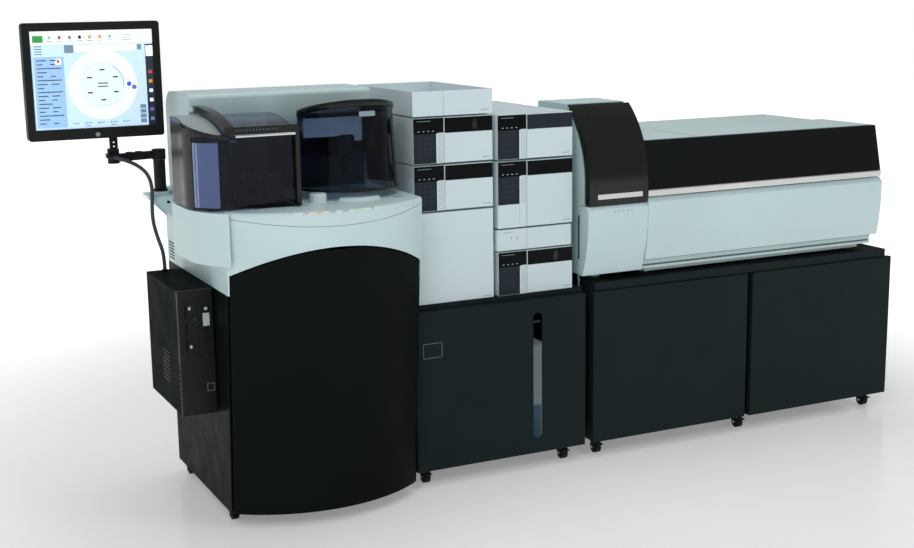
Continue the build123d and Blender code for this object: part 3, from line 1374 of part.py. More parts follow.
with BuildPart() as ms_source_front:
    with BuildSketch(Plane.YZ.offset(ms_left - 6)) as front_section:
        with BuildLine():
            Polyline(
                (front + 9, TOWER_BOTTOM),
                (front + 9, COVER_BOTTOM - 4),
                (front - FRONT_PROUD + 8, COVER_BOTTOM - 4),
                (front - FRONT_PROUD, COVER_BOTTOM - 14),
            )
            ThreePointArc(
                (front - FRONT_PROUD, COVER_BOTTOM - 14),
                (front - FRONT_PROUD + 3, COVER_BOTTOM - 100),
                (front - 10, TOWER_BOTTOM),
            )
            Line((front - 10, TOWER_BOTTOM), (front + 9, TOWER_BOTTOM))
        make_face()
    extrude(amount=TOWER_WIDTH + 6)
    fillet(ms_source_front.faces().sort_by(Axis.X)[0].edges().sort_by(Axis.Y)[0], 8)
finish("ms_source_front", ms_source_front)

# ---------------------------------------------------------------- mass spectrometer: inside
beam_y = front + BEAM_DEPTH
beam_z = COVER_BOTTOM + BEAM_HEIGHT
with BuildPart() as ms_ion_source:
    chamber_x = tower_right - TOWER_WIDTH / 2 - SHEET + 0.5
    barrel_front = beam_y - SOURCE_REACH
    cylinder_between((chamber_x, barrel_front, beam_z), (chamber_x, beam_y + 40, beam_z), SOURCE_RADIUS)
    block(
        (chamber_x - SOURCE_BODY, tower_right - SHEET),
        (beam_y - PROBE_FORWARD - 10, beam_y + SOURCE_BACK),
        (beam_z - SOURCE_FOOT, beam_z + SOURCE_BODY),
    )
    probe_y = beam_y - PROBE_FORWARD
    probe_top = beam_z + PROBE_HEIGHT
    tip_top = (chamber_x, probe_y, probe_top + PROBE_TIP)
    cylinder_between((chamber_x, probe_y, beam_z + 50), (chamber_x, probe_y, probe_top), PROBE_RADIUS)
    cylinder_between((chamber_x, probe_y, probe_top), tip_top, 5)
    window = ((chamber_x, barrel_front - 6, beam_z), (chamber_x, barrel_front + 2, beam_z))
    cylinder_between(*window, SOURCE_RADIUS - 12)
    block(
        (chamber_x - PROBE_FORWARD, chamber_x + PROBE_FORWARD),
        (beam_y - 20, beam_y + 50),
        (COVER_BOTTOM, beam_z - SOURCE_FOOT + 1),
    )
finish("ms_ion_source", ms_ion_source)

manifold_x = (casing_left + 2 * SHEET, casing_left + 2 * SHEET + MANIFOLD_LENGTH)
manifold_y = (beam_y - MANIFOLD_DEPTH / 2, beam_y + MANIFOLD_DEPTH / 2)
manifold_z = (beam_z - MANIFOLD_HEIGHT / 2, beam_z + MANIFOLD_HEIGHT / 2)
turbo_x = (manifold_x[0] + TURBO_INSET, manifold_x[1] - TURBO_INSET)
with BuildPart() as ms_vacuum_manifold:
    block(manifold_x, manifold_y, manifold_z)
    block(
        (manifold_x[0] + MANIFOLD_WALL, manifold_x[1] - MANIFOLD_WALL),
        (manifold_y[0] + MANIFOLD_WALL, manifold_y[1] - MANIFOLD_WALL),
        (manifold_z[0] + MANIFOLD_WALL, manifold_z[1] - MANIFOLD_WALL),
        Mode.SUBTRACT,
    )
    beam_end = (manifold_x[0] + MANIFOLD_WALL + 1, beam_y, beam_z)
    cylinder_between((manifold_x[0] - 1, beam_y, beam_z), beam_end, 9, Mode.SUBTRACT)
    for x in turbo_x:
        throat_foot = (x, beam_y, manifold_z[0] - 1)
        throat_top = (x, beam_y, manifold_z[0] + MANIFOLD_WALL + 6)
        cylinder_between(throat_foot, throat_top, TURBO_THROAT, Mode.SUBTRACT)
finish("ms_vacuum_manifold", ms_vacuum_manifold)

with BuildPart() as ms_turbo_pumps:
    for x in turbo_x:
        pump_top = (x, beam_y, manifold_z[0] - CLEAR)
        flange_foot = (x, beam_y, manifold_z[0] - 14)
        body_foot = (x, beam_y, MS_BOTTOM + SHEET + 30)
        cylinder_between(flange_foot, pump_top, TURBO_RADIUS)
        cylinder_between(body_foot, flange_foot, TURBO_RADIUS - 10)
        cylinder_between((x, beam_y, MS_BOTTOM + SHEET), body_foot, TURBO_RADIUS - 26)
finish("ms_turbo_pumps", ms_turbo_pumps)

rod_sets = {"first": (40, 210), "collision_cell": (235, 335), "third": (360, 530)}
with BuildPart() as ms_quadrupoles:
    for start, end in rod_sets.values():
        x0 = manifold_x[0] + MANIFOLD_WALL + start
        x1 = manifold_x[0] + MANIFOLD_WALL + end
        for corner_y in (-ROD_SPACING, ROD_SPACING):
            for corner_z in (-ROD_SPACING, ROD_SPACING):
                rod_start = (x0, beam_y + corner_y, beam_z + corner_z)
                cylinder_between(rod_start, (x1, beam_y + corner_y, beam_z + corner_z), ROD_RADIUS)
        for ring_x in (x0 + 12, x1 - 22):
            cylinder_between((ring_x, beam_y, beam_z), (ring_x + 10, beam_y, beam_z), ROD_CARRIER_RADIUS)
            cylinder_between((ring_x - 1, beam_y, beam_z), (ring_x + 11, beam_y, beam_z), 8, Mode.SUBTRACT)
    block(
        (manifold_x[0] + 2 * MANIFOLD_WALL, manifold_x[1] - 60),
        (beam_y - 20, beam_y + 20),
        (beam_z - ROD_CARRIER_RADIUS - 10, beam_z - ROD_CARRIER_RADIUS + 4),
    )
    for x in (manifold_x[0] + 40, manifold_x[0] + MANIFOLD_LENGTH / 2, manifold_x[1] - 80):
        block(
            (x - 8, x + 8),
            (manifold_y[0] + MANIFOLD_WALL, beam_y + 20),
            (beam_z - ROD_CARRIER_RADIUS - 10, beam_z - ROD_CARRIER_RADIUS),
        )
finish("ms_quadrupoles", ms_quadrupoles)

with BuildPart() as ms_detector:
    detector_x = manifold_x[1] - MANIFOLD_WALL - 30
    detector_start = (detector_x - 24, beam_y, beam_z)
    cylinder_between(detector_start, (detector_x + 30, beam_y, beam_z), DETECTOR_RADIUS)
finish("ms_detector", ms_detector)
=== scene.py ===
"""Finishes and fittings of a liquid chromatograph mass spectrometer line.

Everything is in metres, +Z up, front towards -Y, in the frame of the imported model.
"""

from math import cos, pi, radians, sin, sqrt

import bmesh
import bpy
from bpy.props import FloatProperty, FloatVectorProperty, IntProperty, PointerProperty
from mathutils import Matrix, Vector


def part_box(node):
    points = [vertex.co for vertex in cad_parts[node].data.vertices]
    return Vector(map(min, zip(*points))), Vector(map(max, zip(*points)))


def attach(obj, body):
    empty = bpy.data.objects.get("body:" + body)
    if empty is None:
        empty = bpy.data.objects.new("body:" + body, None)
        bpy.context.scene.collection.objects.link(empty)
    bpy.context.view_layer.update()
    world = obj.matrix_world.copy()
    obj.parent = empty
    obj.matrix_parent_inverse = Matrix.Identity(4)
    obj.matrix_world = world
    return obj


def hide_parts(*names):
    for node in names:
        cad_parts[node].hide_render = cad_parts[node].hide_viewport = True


bl_info = {
    "name": "Spectrometer Line",
    "version": (1, 0, 0),
    "blender": (4, 5, 0),
    "location": "View3D > Sidebar > Line",
    "description": "Finishes and fittings of a chromatograph mass spectrometer line",
    "category": "Object",
}

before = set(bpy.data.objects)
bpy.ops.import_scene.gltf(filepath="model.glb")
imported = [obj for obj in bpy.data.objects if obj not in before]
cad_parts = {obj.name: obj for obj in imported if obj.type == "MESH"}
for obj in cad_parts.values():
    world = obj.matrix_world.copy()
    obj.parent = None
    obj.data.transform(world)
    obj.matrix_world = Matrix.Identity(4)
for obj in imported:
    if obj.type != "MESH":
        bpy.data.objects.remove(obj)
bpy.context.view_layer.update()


def low(node):
    """Lowest corner of a node's box."""
    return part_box(node)[0]


def high(node):
    """Highest corner of a node's box."""
    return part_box(node)[1]


def corners(node):
    """Lowest and highest corner of a node's box."""
    return low(node), high(node)


# ---------------------------------------------------------------- settings
def colour_setting(name, description, default):
    return FloatVectorProperty(
        name=name, description=description, default=default, subtype="COLOR", size=3, min=0, max=1
    )


def length_setting(name, description, default):
    return FloatProperty(name=name, description=description, default=default, unit="LENGTH", min=0)


class LineColours(bpy.types.PropertyGroup):
    """Colours of the painted, moulded and clear parts."""

    casing: colour_setting("Casing", "Moulded covers of the station and analyser", (0.53, 0.68, 0.69))
    module: colour_setting("Module", "Painted fronts of the modules", (0.60, 0.71, 0.74))
    cabinet: colour_setting("Cabinet", "Painted doors of the cabinet and bench", (0.0115, 0.0195, 0.0205))
    black: colour_setting("Black", "Black paint and plastic", (0.0045, 0.0068, 0.0060))
    keypad: colour_setting("Keypad", "Grey keypad film", (0.019, 0.026, 0.033))
    smoke: colour_setting("Smoke", "Tint of the clear covers", (0.25, 0.30, 0.40))
    silver: colour_setting("Silver", "Brushed trim", (0.60, 0.61, 0.60))
    page: colour_setting("Page", "Background of the touch screen", (0.48, 0.65, 0.82))


class FrontSizes(bpy.types.PropertyGroup):
    """Sizes of what is printed and set into the fronts of the modules."""

    band: length_setting("Band", "Height of the black band across a front", 0.0475)
    keypad: length_setting("Keypad", "Width of the keypad film", 0.074)
    ring: length_setting("Ring", "Radius of an embossed ring", 0.0074)
    rings: IntProperty(name="Rings", description="Embossed rings in the column", default=5, min=1)
    relief: length_setting("Relief", "How far films stand proud", 0.0006)


class StageSettings(bpy.types.PropertyGroup):
    """Camera and lamps."""

    lens: FloatProperty(name="Lens", description="Focal length in millimetres", default=55.5, min=10)
    eye: FloatVectorProperty(
        name="Eye", description="Place of the camera", default=(-2.0714, -3.9046, 1.4731), subtype="TRANSLATION"
    )
    heading: FloatProperty(name="Heading", description="Turn from +Y", default=radians(26.007), subtype="ANGLE")
    dip: FloatProperty(name="Dip", description="How far the view looks down", default=radians(11.32), subtype="ANGLE")
    roll: FloatProperty(name="Roll", description="Roll of the camera", default=radians(-0.795), subtype="ANGLE")
    key_power: FloatProperty(name="Key", description="Power of the main lamp in watts", default=60, min=0)
    sky: FloatProperty(name="Sky", description="Strength of the room's light", default=0.37, min=0)


# ---------------------------------------------------------------- node materials
materials = {}


def new_material(name):
    """An empty node material: its tree, its shader and its object coordinates."""
    material = bpy.data.materials.new(name)
    material.use_nodes = True
    tree = material.node_tree
    tree.nodes.clear()
    output = tree.nodes.new("ShaderNodeOutputMaterial")
    shader = tree.nodes.new("ShaderNodeBsdfPrincipled")
    tree.links.new(shader.outputs[0], output.inputs["Surface"])
    coordinates = tree.nodes.new("ShaderNodeTexCoord").outputs["Object"]
    materials[name] = material
    return tree, shader, coordinates


def noise(tree, coordinates, scale, detail=3.0, stretch=None):
    """Noise value over coordinates, drawn out along an axis where stretch says so."""
    if stretch:
        mapping = tree.nodes.new("ShaderNodeMapping")
        mapping.inputs["Scale"].default_value = stretch
        tree.links.new(coordinates, mapping.inputs["Vector"])
        coordinates = mapping.outputs[0]
    node = tree.nodes.new("ShaderNodeTexNoise")
    node.inputs["Scale"].default_value = scale
    node.inputs["Detail"].default_value = detail
    tree.links.new(coordinates, node.inputs["Vector"])
    return node.outputs[0]


def ranged(tree, value, limits):
    """Map a value from the first two limits onto the last two."""
    node = tree.nodes.new("ShaderNodeMapRange")
    for socket, number in zip(("From Min", "From Max", "To Min", "To Max"), limits):
        node.inputs[socket].default_value = number
    tree.links.new(value, node.inputs["Value"])
    return node


def spread(tree, value, start, end):
    """Map the middle of a noise value onto start to end."""
    return ranged(tree, value, (0.3, 0.7, start, end)).outputs[0]


def blended(tree, share, first, second):
    """One colour shading into another by a share."""
    node = tree.nodes.new("ShaderNodeMix")
    node.data_type = "RGBA"
    node.inputs[6].default_value = (*first, 1)
    node.inputs[7].default_value = (*second, 1)
    tree.links.new(share, node.inputs[0])
    return node.outputs[2]


DRIFT_SCALE = 2.3  # slow change of colour across a part
POLISH_SCALE = 14  # patches of rougher and smoother surface
POLISH_SPREAD = 0.15


def finish(
    name, colour, roughness, drift=0.04, grain=900, relief=0.00004, stretch=None, edge=0.0007, glow=0.0, **constants
):
    """A node material with drifting colour and roughness, fine relief and softened edges."""
    tree, shader, coordinates = new_material(name)
    share = spread(tree, noise(tree, coordinates, DRIFT_SCALE), 0, 1)
    darker = [c * (1 - drift) for c in colour]
    paler = [min(c * (1 + drift), 1) for c in colour]
    shade = blended(tree, share, darker, paler)
    tree.links.new(shade, shader.inputs["Base Color"])
    patches = noise(tree, coordinates, POLISH_SCALE, 5)
    polish = spread(tree, patches, roughness * (1 - POLISH_SPREAD), min(roughness * (1 + POLISH_SPREAD), 1))
    tree.links.new(polish, shader.inputs["Roughness"])
    bevel = tree.nodes.new("ShaderNodeBevel")
    bevel.samples = 4
    bevel.inputs["Radius"].default_value = edge
    bump = tree.nodes.new("ShaderNodeBump")
    bump.inputs["Strength"].default_value = 0.5
    bump.inputs["Distance"].default_value = relief
    tree.links.new(noise(tree, coordinates, grain, 2, stretch), bump.inputs["Height"])
    tree.links.new(bevel.outputs[0], bump.inputs["Normal"])
    tree.links.new(bump.outputs[0], shader.inputs["Normal"])
    # Glow makes a part light itself: true for the screen's page, painted light on any other part
    if glow:
        tree.links.new(shade, shader.inputs["Emission Color"])
        shader.inputs["Emission Strength"].default_value = glow
    for socket, number in constants.items():
        shader.inputs[socket.replace("_", " ")].default_value = number
    return materials[name]


BRAID_SLANTS = (radians(38), radians(30))
BRAID_THREADS = 95


def braid(name, colour, thread):
    """Braided sleeve: two crossing families of threads over a dark core."""
    tree, shader, coordinates = new_material(name)
    waves = []
    for slant in (1, -1):
        mapping = tree.nodes.new("ShaderNodeMapping")
        mapping.inputs["Rotation"].default_value = (0, *(slant * turn for turn in BRAID_SLANTS))
        tree.links.new(coordinates, mapping.inputs["Vector"])
        wave = tree.nodes.new("ShaderNodeTexWave")
        wave.inputs["Scale"].default_value = BRAID_THREADS
        wave.inputs["Distortion"].default_value = 1.5
        tree.links.new(mapping.outputs[0], wave.inputs["Vector"])
        waves.append(wave.outputs["Fac"])
    weave = tree.nodes.new("ShaderNodeMath")
    weave.operation = "MULTIPLY"
    tree.links.new(waves[0], weave.inputs[0])
    tree.links.new(waves[1], weave.inputs[1])
    tree.links.new(blended(tree, weave.outputs[0], colour, thread), shader.inputs["Base Color"])
    bump = tree.nodes.new("ShaderNodeBump")
    bump.inputs["Distance"].default_value = 0.0006
    tree.links.new(weave.outputs[0], bump.inputs["Height"])
    tree.links.new(bump.outputs[0], shader.inputs["Normal"])
    tree.links.new(spread(tree, weave.outputs[0], 0.45, 0.6), shader.inputs["Roughness"])


def make_materials():
    """Every finish on the line."""
    hue = bpy.context.scene.line_colours
    finish("casing_white", hue.casing, 0.42, relief=0.00006)
    finish("module_white", hue.module, 0.40, drift=0.025, grain=1200)
    finish("cabinet_grey", hue.cabinet, 0.55, drift=0.10, grain=700, relief=0.0001, Specular_IOR_Level=0.06)
    finish("station_black", hue.black, 0.45, drift=0.15, grain=800, relief=0.00008, Specular_IOR_Level=0.03)
    finish("steel_dark", (0.0085, 0.0118, 0.0122), 0.5, drift=0.1, grain=800, Specular_IOR_Level=0.005)
    finish("matte_black", (0.0050, 0.0062, 0.0060), 0.5, drift=0.1, Specular_IOR_Level=0.25)
    finish("gloss_black", hue.black, 0.20, drift=0.1, grain=60, relief=0.00002, Specular_IOR_Level=0.30)
    finish("panel_black", hue.black, 0.34, drift=0.1, grain=60, relief=0.00002, Specular_IOR_Level=0.12)
    finish("display_black", (0.0020, 0.0026, 0.0028), 0.25, grain=300, Specular_IOR_Level=0.07)
    finish("keypad_grey", hue.keypad, 0.55, drift=0.06, grain=1500, Specular_IOR_Level=0.1)
    finish("key_grey", [c * 1.3 for c in hue.keypad], 0.5, drift=0.06, grain=1500, Specular_IOR_Level=0.1)
    finish("trim_silver", hue.silver, 0.34, grain=90, relief=0.00003, stretch=(0.05, 1, 14), Metallic=0.85)
    finish("steel", (0.52, 0.54, 0.56), 0.3, grain=160, relief=0.00002, stretch=(1, 1, 8), Metallic=1.0)
    finish("chrome", (0.70, 0.72, 0.74), 0.1, grain=200, relief=0.00001, Metallic=1.0)
    finish("alloy", (0.50, 0.52, 0.54), 0.42, grain=500, Metallic=0.9)
    finish("rubber_black", (0.012, 0.013, 0.013), 0.7, drift=0.2, grain=1400, relief=0.0002)
    finish("white_plastic", (0.70, 0.78, 0.80), 0.38, drift=0.03)
    finish("mark_grey", (0.20, 0.26, 0.27), 0.5)
    finish("mark_white", (0.62, 0.68, 0.69), 0.4)
    finish("shadow_gap", (0.004, 0.005, 0.005), 0.8, drift=0.2, Specular_IOR_Level=0.2)
    finish("seam_grey", (0.10, 0.13, 0.13), 0.6, drift=0.1)
    finish("seam_black", (0.016, 0.020, 0.020), 0.4, drift=0.1, Specular_IOR_Level=0.2)
    # The blue board glows by itself: painted light so it shows lighter through the smoked cover
    finish("board_blue_painted_glow", (0.62, 0.66, 0.86), 0.5, drift=0.04, glow=0.25)
    finish("board_brown", (0.030, 0.032, 0.028), 0.32, drift=0.15, Specular_IOR_Level=0.15)
    # The pale board glows by itself: painted light so it shows through the smoked covers
    finish("board_pale_painted_glow", (0.62, 0.72, 0.74), 0.45, drift=0.04, glow=0.15)
    finish("label_film", (0.22, 0.30, 0.33), 0.35, drift=0.05)
    finish("board_dark", (0.010, 0.012, 0.018), 0.35, drift=0.15, Specular_IOR_Level=0.3)
    finish("recess_grey", (0.045, 0.060, 0.060), 0.5, drift=0.06)
    finish("film_white", (0.62, 0.74, 0.75), 0.3, drift=0.03)
    finish("slot_yellow", (0.52, 0.47, 0.16), 0.4, drift=0.08)
    finish("cap_dark", (0.030, 0.036, 0.050), 0.4, drift=0.08)
    finish("roof_grey", (0.30, 0.36, 0.35), 0.36, drift=0.05)
    finish("bracket_grey", (0.33, 0.36, 0.37), 0.45, drift=0.06)
    finish("bracket_pale", (0.46, 0.52, 0.52), 0.4, drift=0.08)
    finish("panel_navy", (0.018, 0.021, 0.038), 0.35, drift=0.12, grain=300)
    finish("vent_black", (0.006, 0.007, 0.007), 0.7, drift=0.2, grain=300)
    # The tank's white and blue glow by themselves: painted light standing in for light through the plastic
    finish("tank_white", (0.55, 0.68, 0.72), 0.34, drift=0.10, grain=120, glow=0.10)
    finish("tank_blue_painted_glow", (0.20, 0.38, 0.52), 0.3, drift=0.10, grain=120, glow=0.06)
    finish("hose_blue", (0.22, 0.34, 0.40), 0.25, drift=0.1)
    finish("page_blue", hue.page, 0.3, drift=0.05, glow=0.55)
    finish("page_side", (0.27, 0.46, 0.70), 0.3, drift=0.06, glow=0.5)
    finish("page_white", (0.80, 0.86, 0.90), 0.3, drift=0.03, glow=0.6)
    finish("page_pale", (0.62, 0.76, 0.86), 0.3, drift=0.03, glow=0.55)
    finish("page_navy", (0.012, 0.022, 0.045), 0.3, drift=0.1, glow=0.3)
    finish("page_grey", (0.16, 0.24, 0.33), 0.3, drift=0.1, glow=0.4)
    for key, hue_of_key in {
        "green": (0.03, 0.30, 0.06),
        "red": (0.55, 0.05, 0.05),
        "orange": (0.75, 0.30, 0.03),
        "blue": (0.03, 0.12, 0.75),
        "violet": (0.18, 0.12, 0.50),
        "teal": (0.20, 0.60, 0.50),
    }.items():
        finish("sign_" + key, hue_of_key, 0.35, drift=0.05, glow=0.35)
    for key, hue_of_key in {
        "red": (0.66, 0.50, 0.52),
        "orange": (0.72, 0.56, 0.36),
        "grey": (0.42, 0.52, 0.53),
        "green": (0.45, 0.74, 0.52),
    }.items():
        finish("print_" + key, hue_of_key, 0.4, drift=0.04)
    clear = {"Transmission_Weight": 1.0, "IOR": 1.2}
    finish("smoked", hue.smoke, 0.04, drift=0.06, grain=40, relief=0.000002, **clear)
    finish("clear", (0.86, 0.92, 0.93), 0.05, drift=0.02, grain=40, relief=0.00001, **clear)
    braid("braided", (0.012, 0.018, 0.022), (0.10, 0.14, 0.16))


NODE_FINISHES = {
    "station_black": ["prep_cabinet", "prep_front_door"],
    "casing_white": [
        "prep_body", "prep_deck", "prep_corner_panel", "prep_hood", "arm_bracket",
        "ms_casing", "ms_front_panel", "ms_tower", "ms_source_front",
    ],
    "smoked": ["prep_left_cover", "prep_right_cover"],
    "gloss_black": ["prep_left_cover_frame", "prep_right_cover_cap", "ms_source_cover"],
    "panel_black": ["ms_upper_panel"],
    "chrome": ["prep_left_cover_bar"],
    "alloy": ["ms_vacuum_manifold", "ms_turbo_pumps"],
    "board_dark": ["prep_turntable", "prep_gantry_rail", "prep_gantry_carriage"],
    "clear": ["prep_sample_tubes"],
    "steel_dark": ["pc_case", "rough_vacuum_pump"],
    "matte_black": [
        "pc_front_panel", "pc_disc_tray", "pc_power_button", "arm_link", "monitor_tilt_head", "monitor_housing",
    ],
    "page_blue": ["monitor_screen"],
    "cabinet_grey": ["lc_cabinet", "lc_cabinet_door", "bench_frame", "bench_left_door", "bench_right_door"],
    "tank_white": ["lc_waste_tank"],
    "module_white": [
        "lc_pump_a", "lc_pump_a_door", "lc_pump_b", "lc_pump_b_door", "lc_pump_c",
        "lc_pump_c_door", "lc_reservoir_tray", "lc_oven", "lc_oven_door", "lc_degasser", "lc_autosampler",
        "lc_autosampler_door", "lc_controller", "lc_controller_door",
    ],
    "trim_silver": ["ms_trim"],
    "steel": ["lc_column", "ms_ion_source", "ms_quadrupoles", "ms_detector"],
}


# ---------------------------------------------------------------- outlines in a plane
def grid(count, start, step):
    """Evenly spaced values."""
    return [start + i * step for i in range(count)]


def rectangle(across, up, corners=0.0, steps=5):
    """A rectangle, with round corners: one radius, or four from the low left one anticlockwise."""
    radii = corners if isinstance(corners, tuple) else (corners,) * 4
    centres = ((across[0], up[0]), (across[1], up[0]), (across[1], up[1]), (across[0], up[1]))
    inward = ((1, 1), (-1, 1), (-1, -1), (1, -1))
    outline = []
    for i, (corner, side, radius) in enumerate(zip(centres, inward, radii)):
        if not radius:
            outline.append(corner)
            continue
        middle = (corner[0] + side[0] * radius, corner[1] + side[1] * radius)
        for step in range(steps + 1):
            angle = pi + (i + step / steps) * pi / 2
            outline.append((middle[0] + radius * cos(angle), middle[1] + radius * sin(angle)))
    return outline


def off(base, first, second):
    """Two values measured from a base."""
    return base + first, base + second


def about(middle, half):
    """Two values on either side of a middle."""
    return middle - half, middle + half


def disc(centre, radius, steps=20):
    """A circle as an outline."""
    return [
        (centre[0] + radius * cos(2 * pi * i / steps), centre[1] + radius * sin(2 * pi * i / steps))
        for i in range(steps)
    ]


def around(centre, radius, count, first=0):
    """Places evenly spaced on a circle, the first at an angle in degrees."""
    angles = [radians(first + 360 / count * i) for i in range(count)]
    return [(centre[0] + radius * cos(angle), centre[1] + radius * sin(angle)) for angle in angles]


def oval(centre, wide, tall, steps=28):
    """An oval as an outline."""
    return [(centre[0] + wide * cos(a), centre[1] + tall * sin(a)) for a in grid(steps, 0, 2 * pi / steps)]


def upright(near, far, bottom, top):
    """The corners of an upright wall's section between two places of the plan."""
    return [(near.x, near.y, bottom), (far.x, far.y, bottom), (far.x, far.y, top), (near.x, near.y, top)]


def place(axis, pair, along):
    """A point from its two outline values and its place along the axis."""
    a, b = pair
    return {"x": (along, a, b), "y": (a, along, b), "z": (a, b, along)}[axis]


# ---------------------------------------------------------------- building meshes
SHARP_ANGLE = radians(40)
PRINT = 0.0002  # how far a printed mark stands proud


class Piece:
    """One object made of several closed solids, each with its own finish."""

    def __init__(self, name):
        self.name = name
        self.mesh = bmesh.new()
        self.finishes = []

    def skin(self, rings, material, closed=False, smooth=False):
        """Join rings of points into a solid. A closed one returns to its first ring."""
        if material not in self.finishes:
            self.finishes.append(material)
        rows = [[self.mesh.verts.new(point) for point in ring] for ring in rings]
        pairs = list(zip(rows, rows[1:] + rows[:1] if closed else rows[1:]))
        faces = []
        for here, there in pairs:
            for i in range(len(here)):
                j = (i + 1) % len(here)
                faces.append(self.mesh.faces.new((here[i], here[j], there[j], there[i])))
        if not closed:
            faces.append(self.mesh.faces.new(rows[0][::-1]))
            faces.append(self.mesh.faces.new(rows[-1]))
        for face in faces:
            face.material_index = self.finishes.index(material)
            face.smooth = smooth

    def prism(self, axis, outline, span, material):
        """An outline pulled along an axis from the first to the second value of span."""
        self.skin([[place(axis, pair, along) for pair in outline] for along in span], material)

    def plate(self, axis, across, up, span, material, corners=0.0, steps=5):
        """A rectangle pulled along an axis."""
        self.prism(axis, rectangle(across, up, corners, steps), span, material)

    def mark(self, across, up, face):
        """A printed mark on a front."""
        self.plate("y", across, up, (face, face - PRINT), "mark_grey")

    def block(self, x, y, z, material):
        """A box between two values along each axis."""
        self.plate("z", x, y, z, material)

    def turned(self, axis, centre, sections, material, steps=20, closed=False):
        """A turned solid: sections are (radius, place along the axis)."""
        rings = [[place(axis, pair, along) for pair in disc(centre, radius, steps)] for radius, along in sections]
        self.skin(rings, material, closed, True)

    def peg(self, axis, centre, radius, span, material, steps=20):
        """A round peg of one radius."""
        self.turned(axis, centre, [(radius, along) for along in span], material, steps)

    def knob(self, axis, centre, radius, span, crown, material, steps=20):
        """A round peg that narrows to its crown, a (radius, place along the axis)."""
        self.turned(axis, centre, [*((radius, along) for along in span), crown], material, steps)

    def band(self, axis, inner, outer, span, material):
        """A flat frame between two outlines that have as many points."""
        near, far = span
        rings = [(outer, near), (outer, far), (inner, far), (inner, near)]
        self.skin([[place(axis, pair, along) for pair in outline] for outline, along in rings], material, True)

    def pad(self, spot, facing, outline, thick, material, sink=0.0012):
        """A flat shape on a slanting surface; its outline is (across, up) seen from outside."""
        outward = Vector(facing).normalized()
        across = Vector((0, 0, 1)).cross(outward).normalized()
        up = outward.cross(across)
        rings = [
            [Vector(spot) + across * a + up * b + outward * rise for a, b in outline] for rise in (-sink, thick)
        ]
        self.skin(rings, material)

    def ring(self, axis, centre, outer, inner, span, material, steps=24):
        """A flat ring."""
        near, far = span
        sections = [(outer, near), (outer, far), (inner, far), (inner, near)]
        self.turned(axis, centre, sections, material, steps, closed=True)

    def tube(self, points, radius, material, steps=10):
        """A round bar through points."""
        points = [Vector(point) for point in points]
        rings = []
        for i, point in enumerate(points):
            heading = (points[min(i + 1, len(points) - 1)] - points[max(i - 1, 0)]).normalized()
            turn = heading.to_track_quat("Z", "Y")
            rings.append([point + turn @ Vector((*pair, 0)) for pair in disc((0, 0), radius, steps)])
        self.skin(rings, material, smooth=True)

    def done(self, body, bevel=0.0):
        """Turn the solids into an object that rides on a body."""
        bmesh.ops.recalc_face_normals(self.mesh, faces=self.mesh.faces)
        mesh = bpy.data.meshes.new(self.name)
        self.mesh.to_mesh(mesh)
        self.mesh.free()
        for name in self.finishes:
            mesh.materials.append(materials[name])
        mesh.set_sharp_from_angle(angle=SHARP_ANGLE)
        piece = bpy.data.objects.new(self.name, mesh)
        bpy.context.scene.collection.objects.link(piece)
        if bevel:
            edges = piece.modifiers.new("edges", "BEVEL")
            edges.width = bevel
            edges.segments = 2
            edges.limit_method = "ANGLE"
        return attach(piece, body)


# ---------------------------------------------------------------- operators
class LINE_OT_node_finishes(bpy.types.Operator):
    """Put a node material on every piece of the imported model"""

    bl_idname = "line.node_finishes"
    bl_label = "Node Finishes"

    def execute(self, context):
        make_materials()
        for name, nodes in NODE_FINISHES.items():
            for node in nodes:
                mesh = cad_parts[node].data
                mesh.materials.clear()
                mesh.materials.append(materials[name])
        return {"FINISHED"}


LAMPS = (  # name, place, target, size, share of the key's power, seen in reflections
    ("key", (-3.2, -3.6, 3.4), (0.0, -0.1, 0.7), 2.2, 1.0, False),
    ("fill", (3.4, -4.2, 2.2), (0.6, 0.0, 0.7), 2.6, 0.45, False),
    ("top", (0.2, 0.3, 4.0), (0.0, 0.0, 0.9), 3.0, 0.7, False),
    ("gleam", (0.9, -2.2, 4.2), (0.1, -0.2, 1.0), 1.0, 0.12, True),
)
SENSOR = 36  # width in millimetres
FAR_CLIP = 60
FLOOR_REACH = 14
FLOOR_DROP = 0.0004  # keeps the floor clear of the wheels
FADE_REACH = (1.2, 3.6)  # where the floor starts and ends its change to white
FADE_GLOW = (0.24, 0.9)  # how far it lights itself there


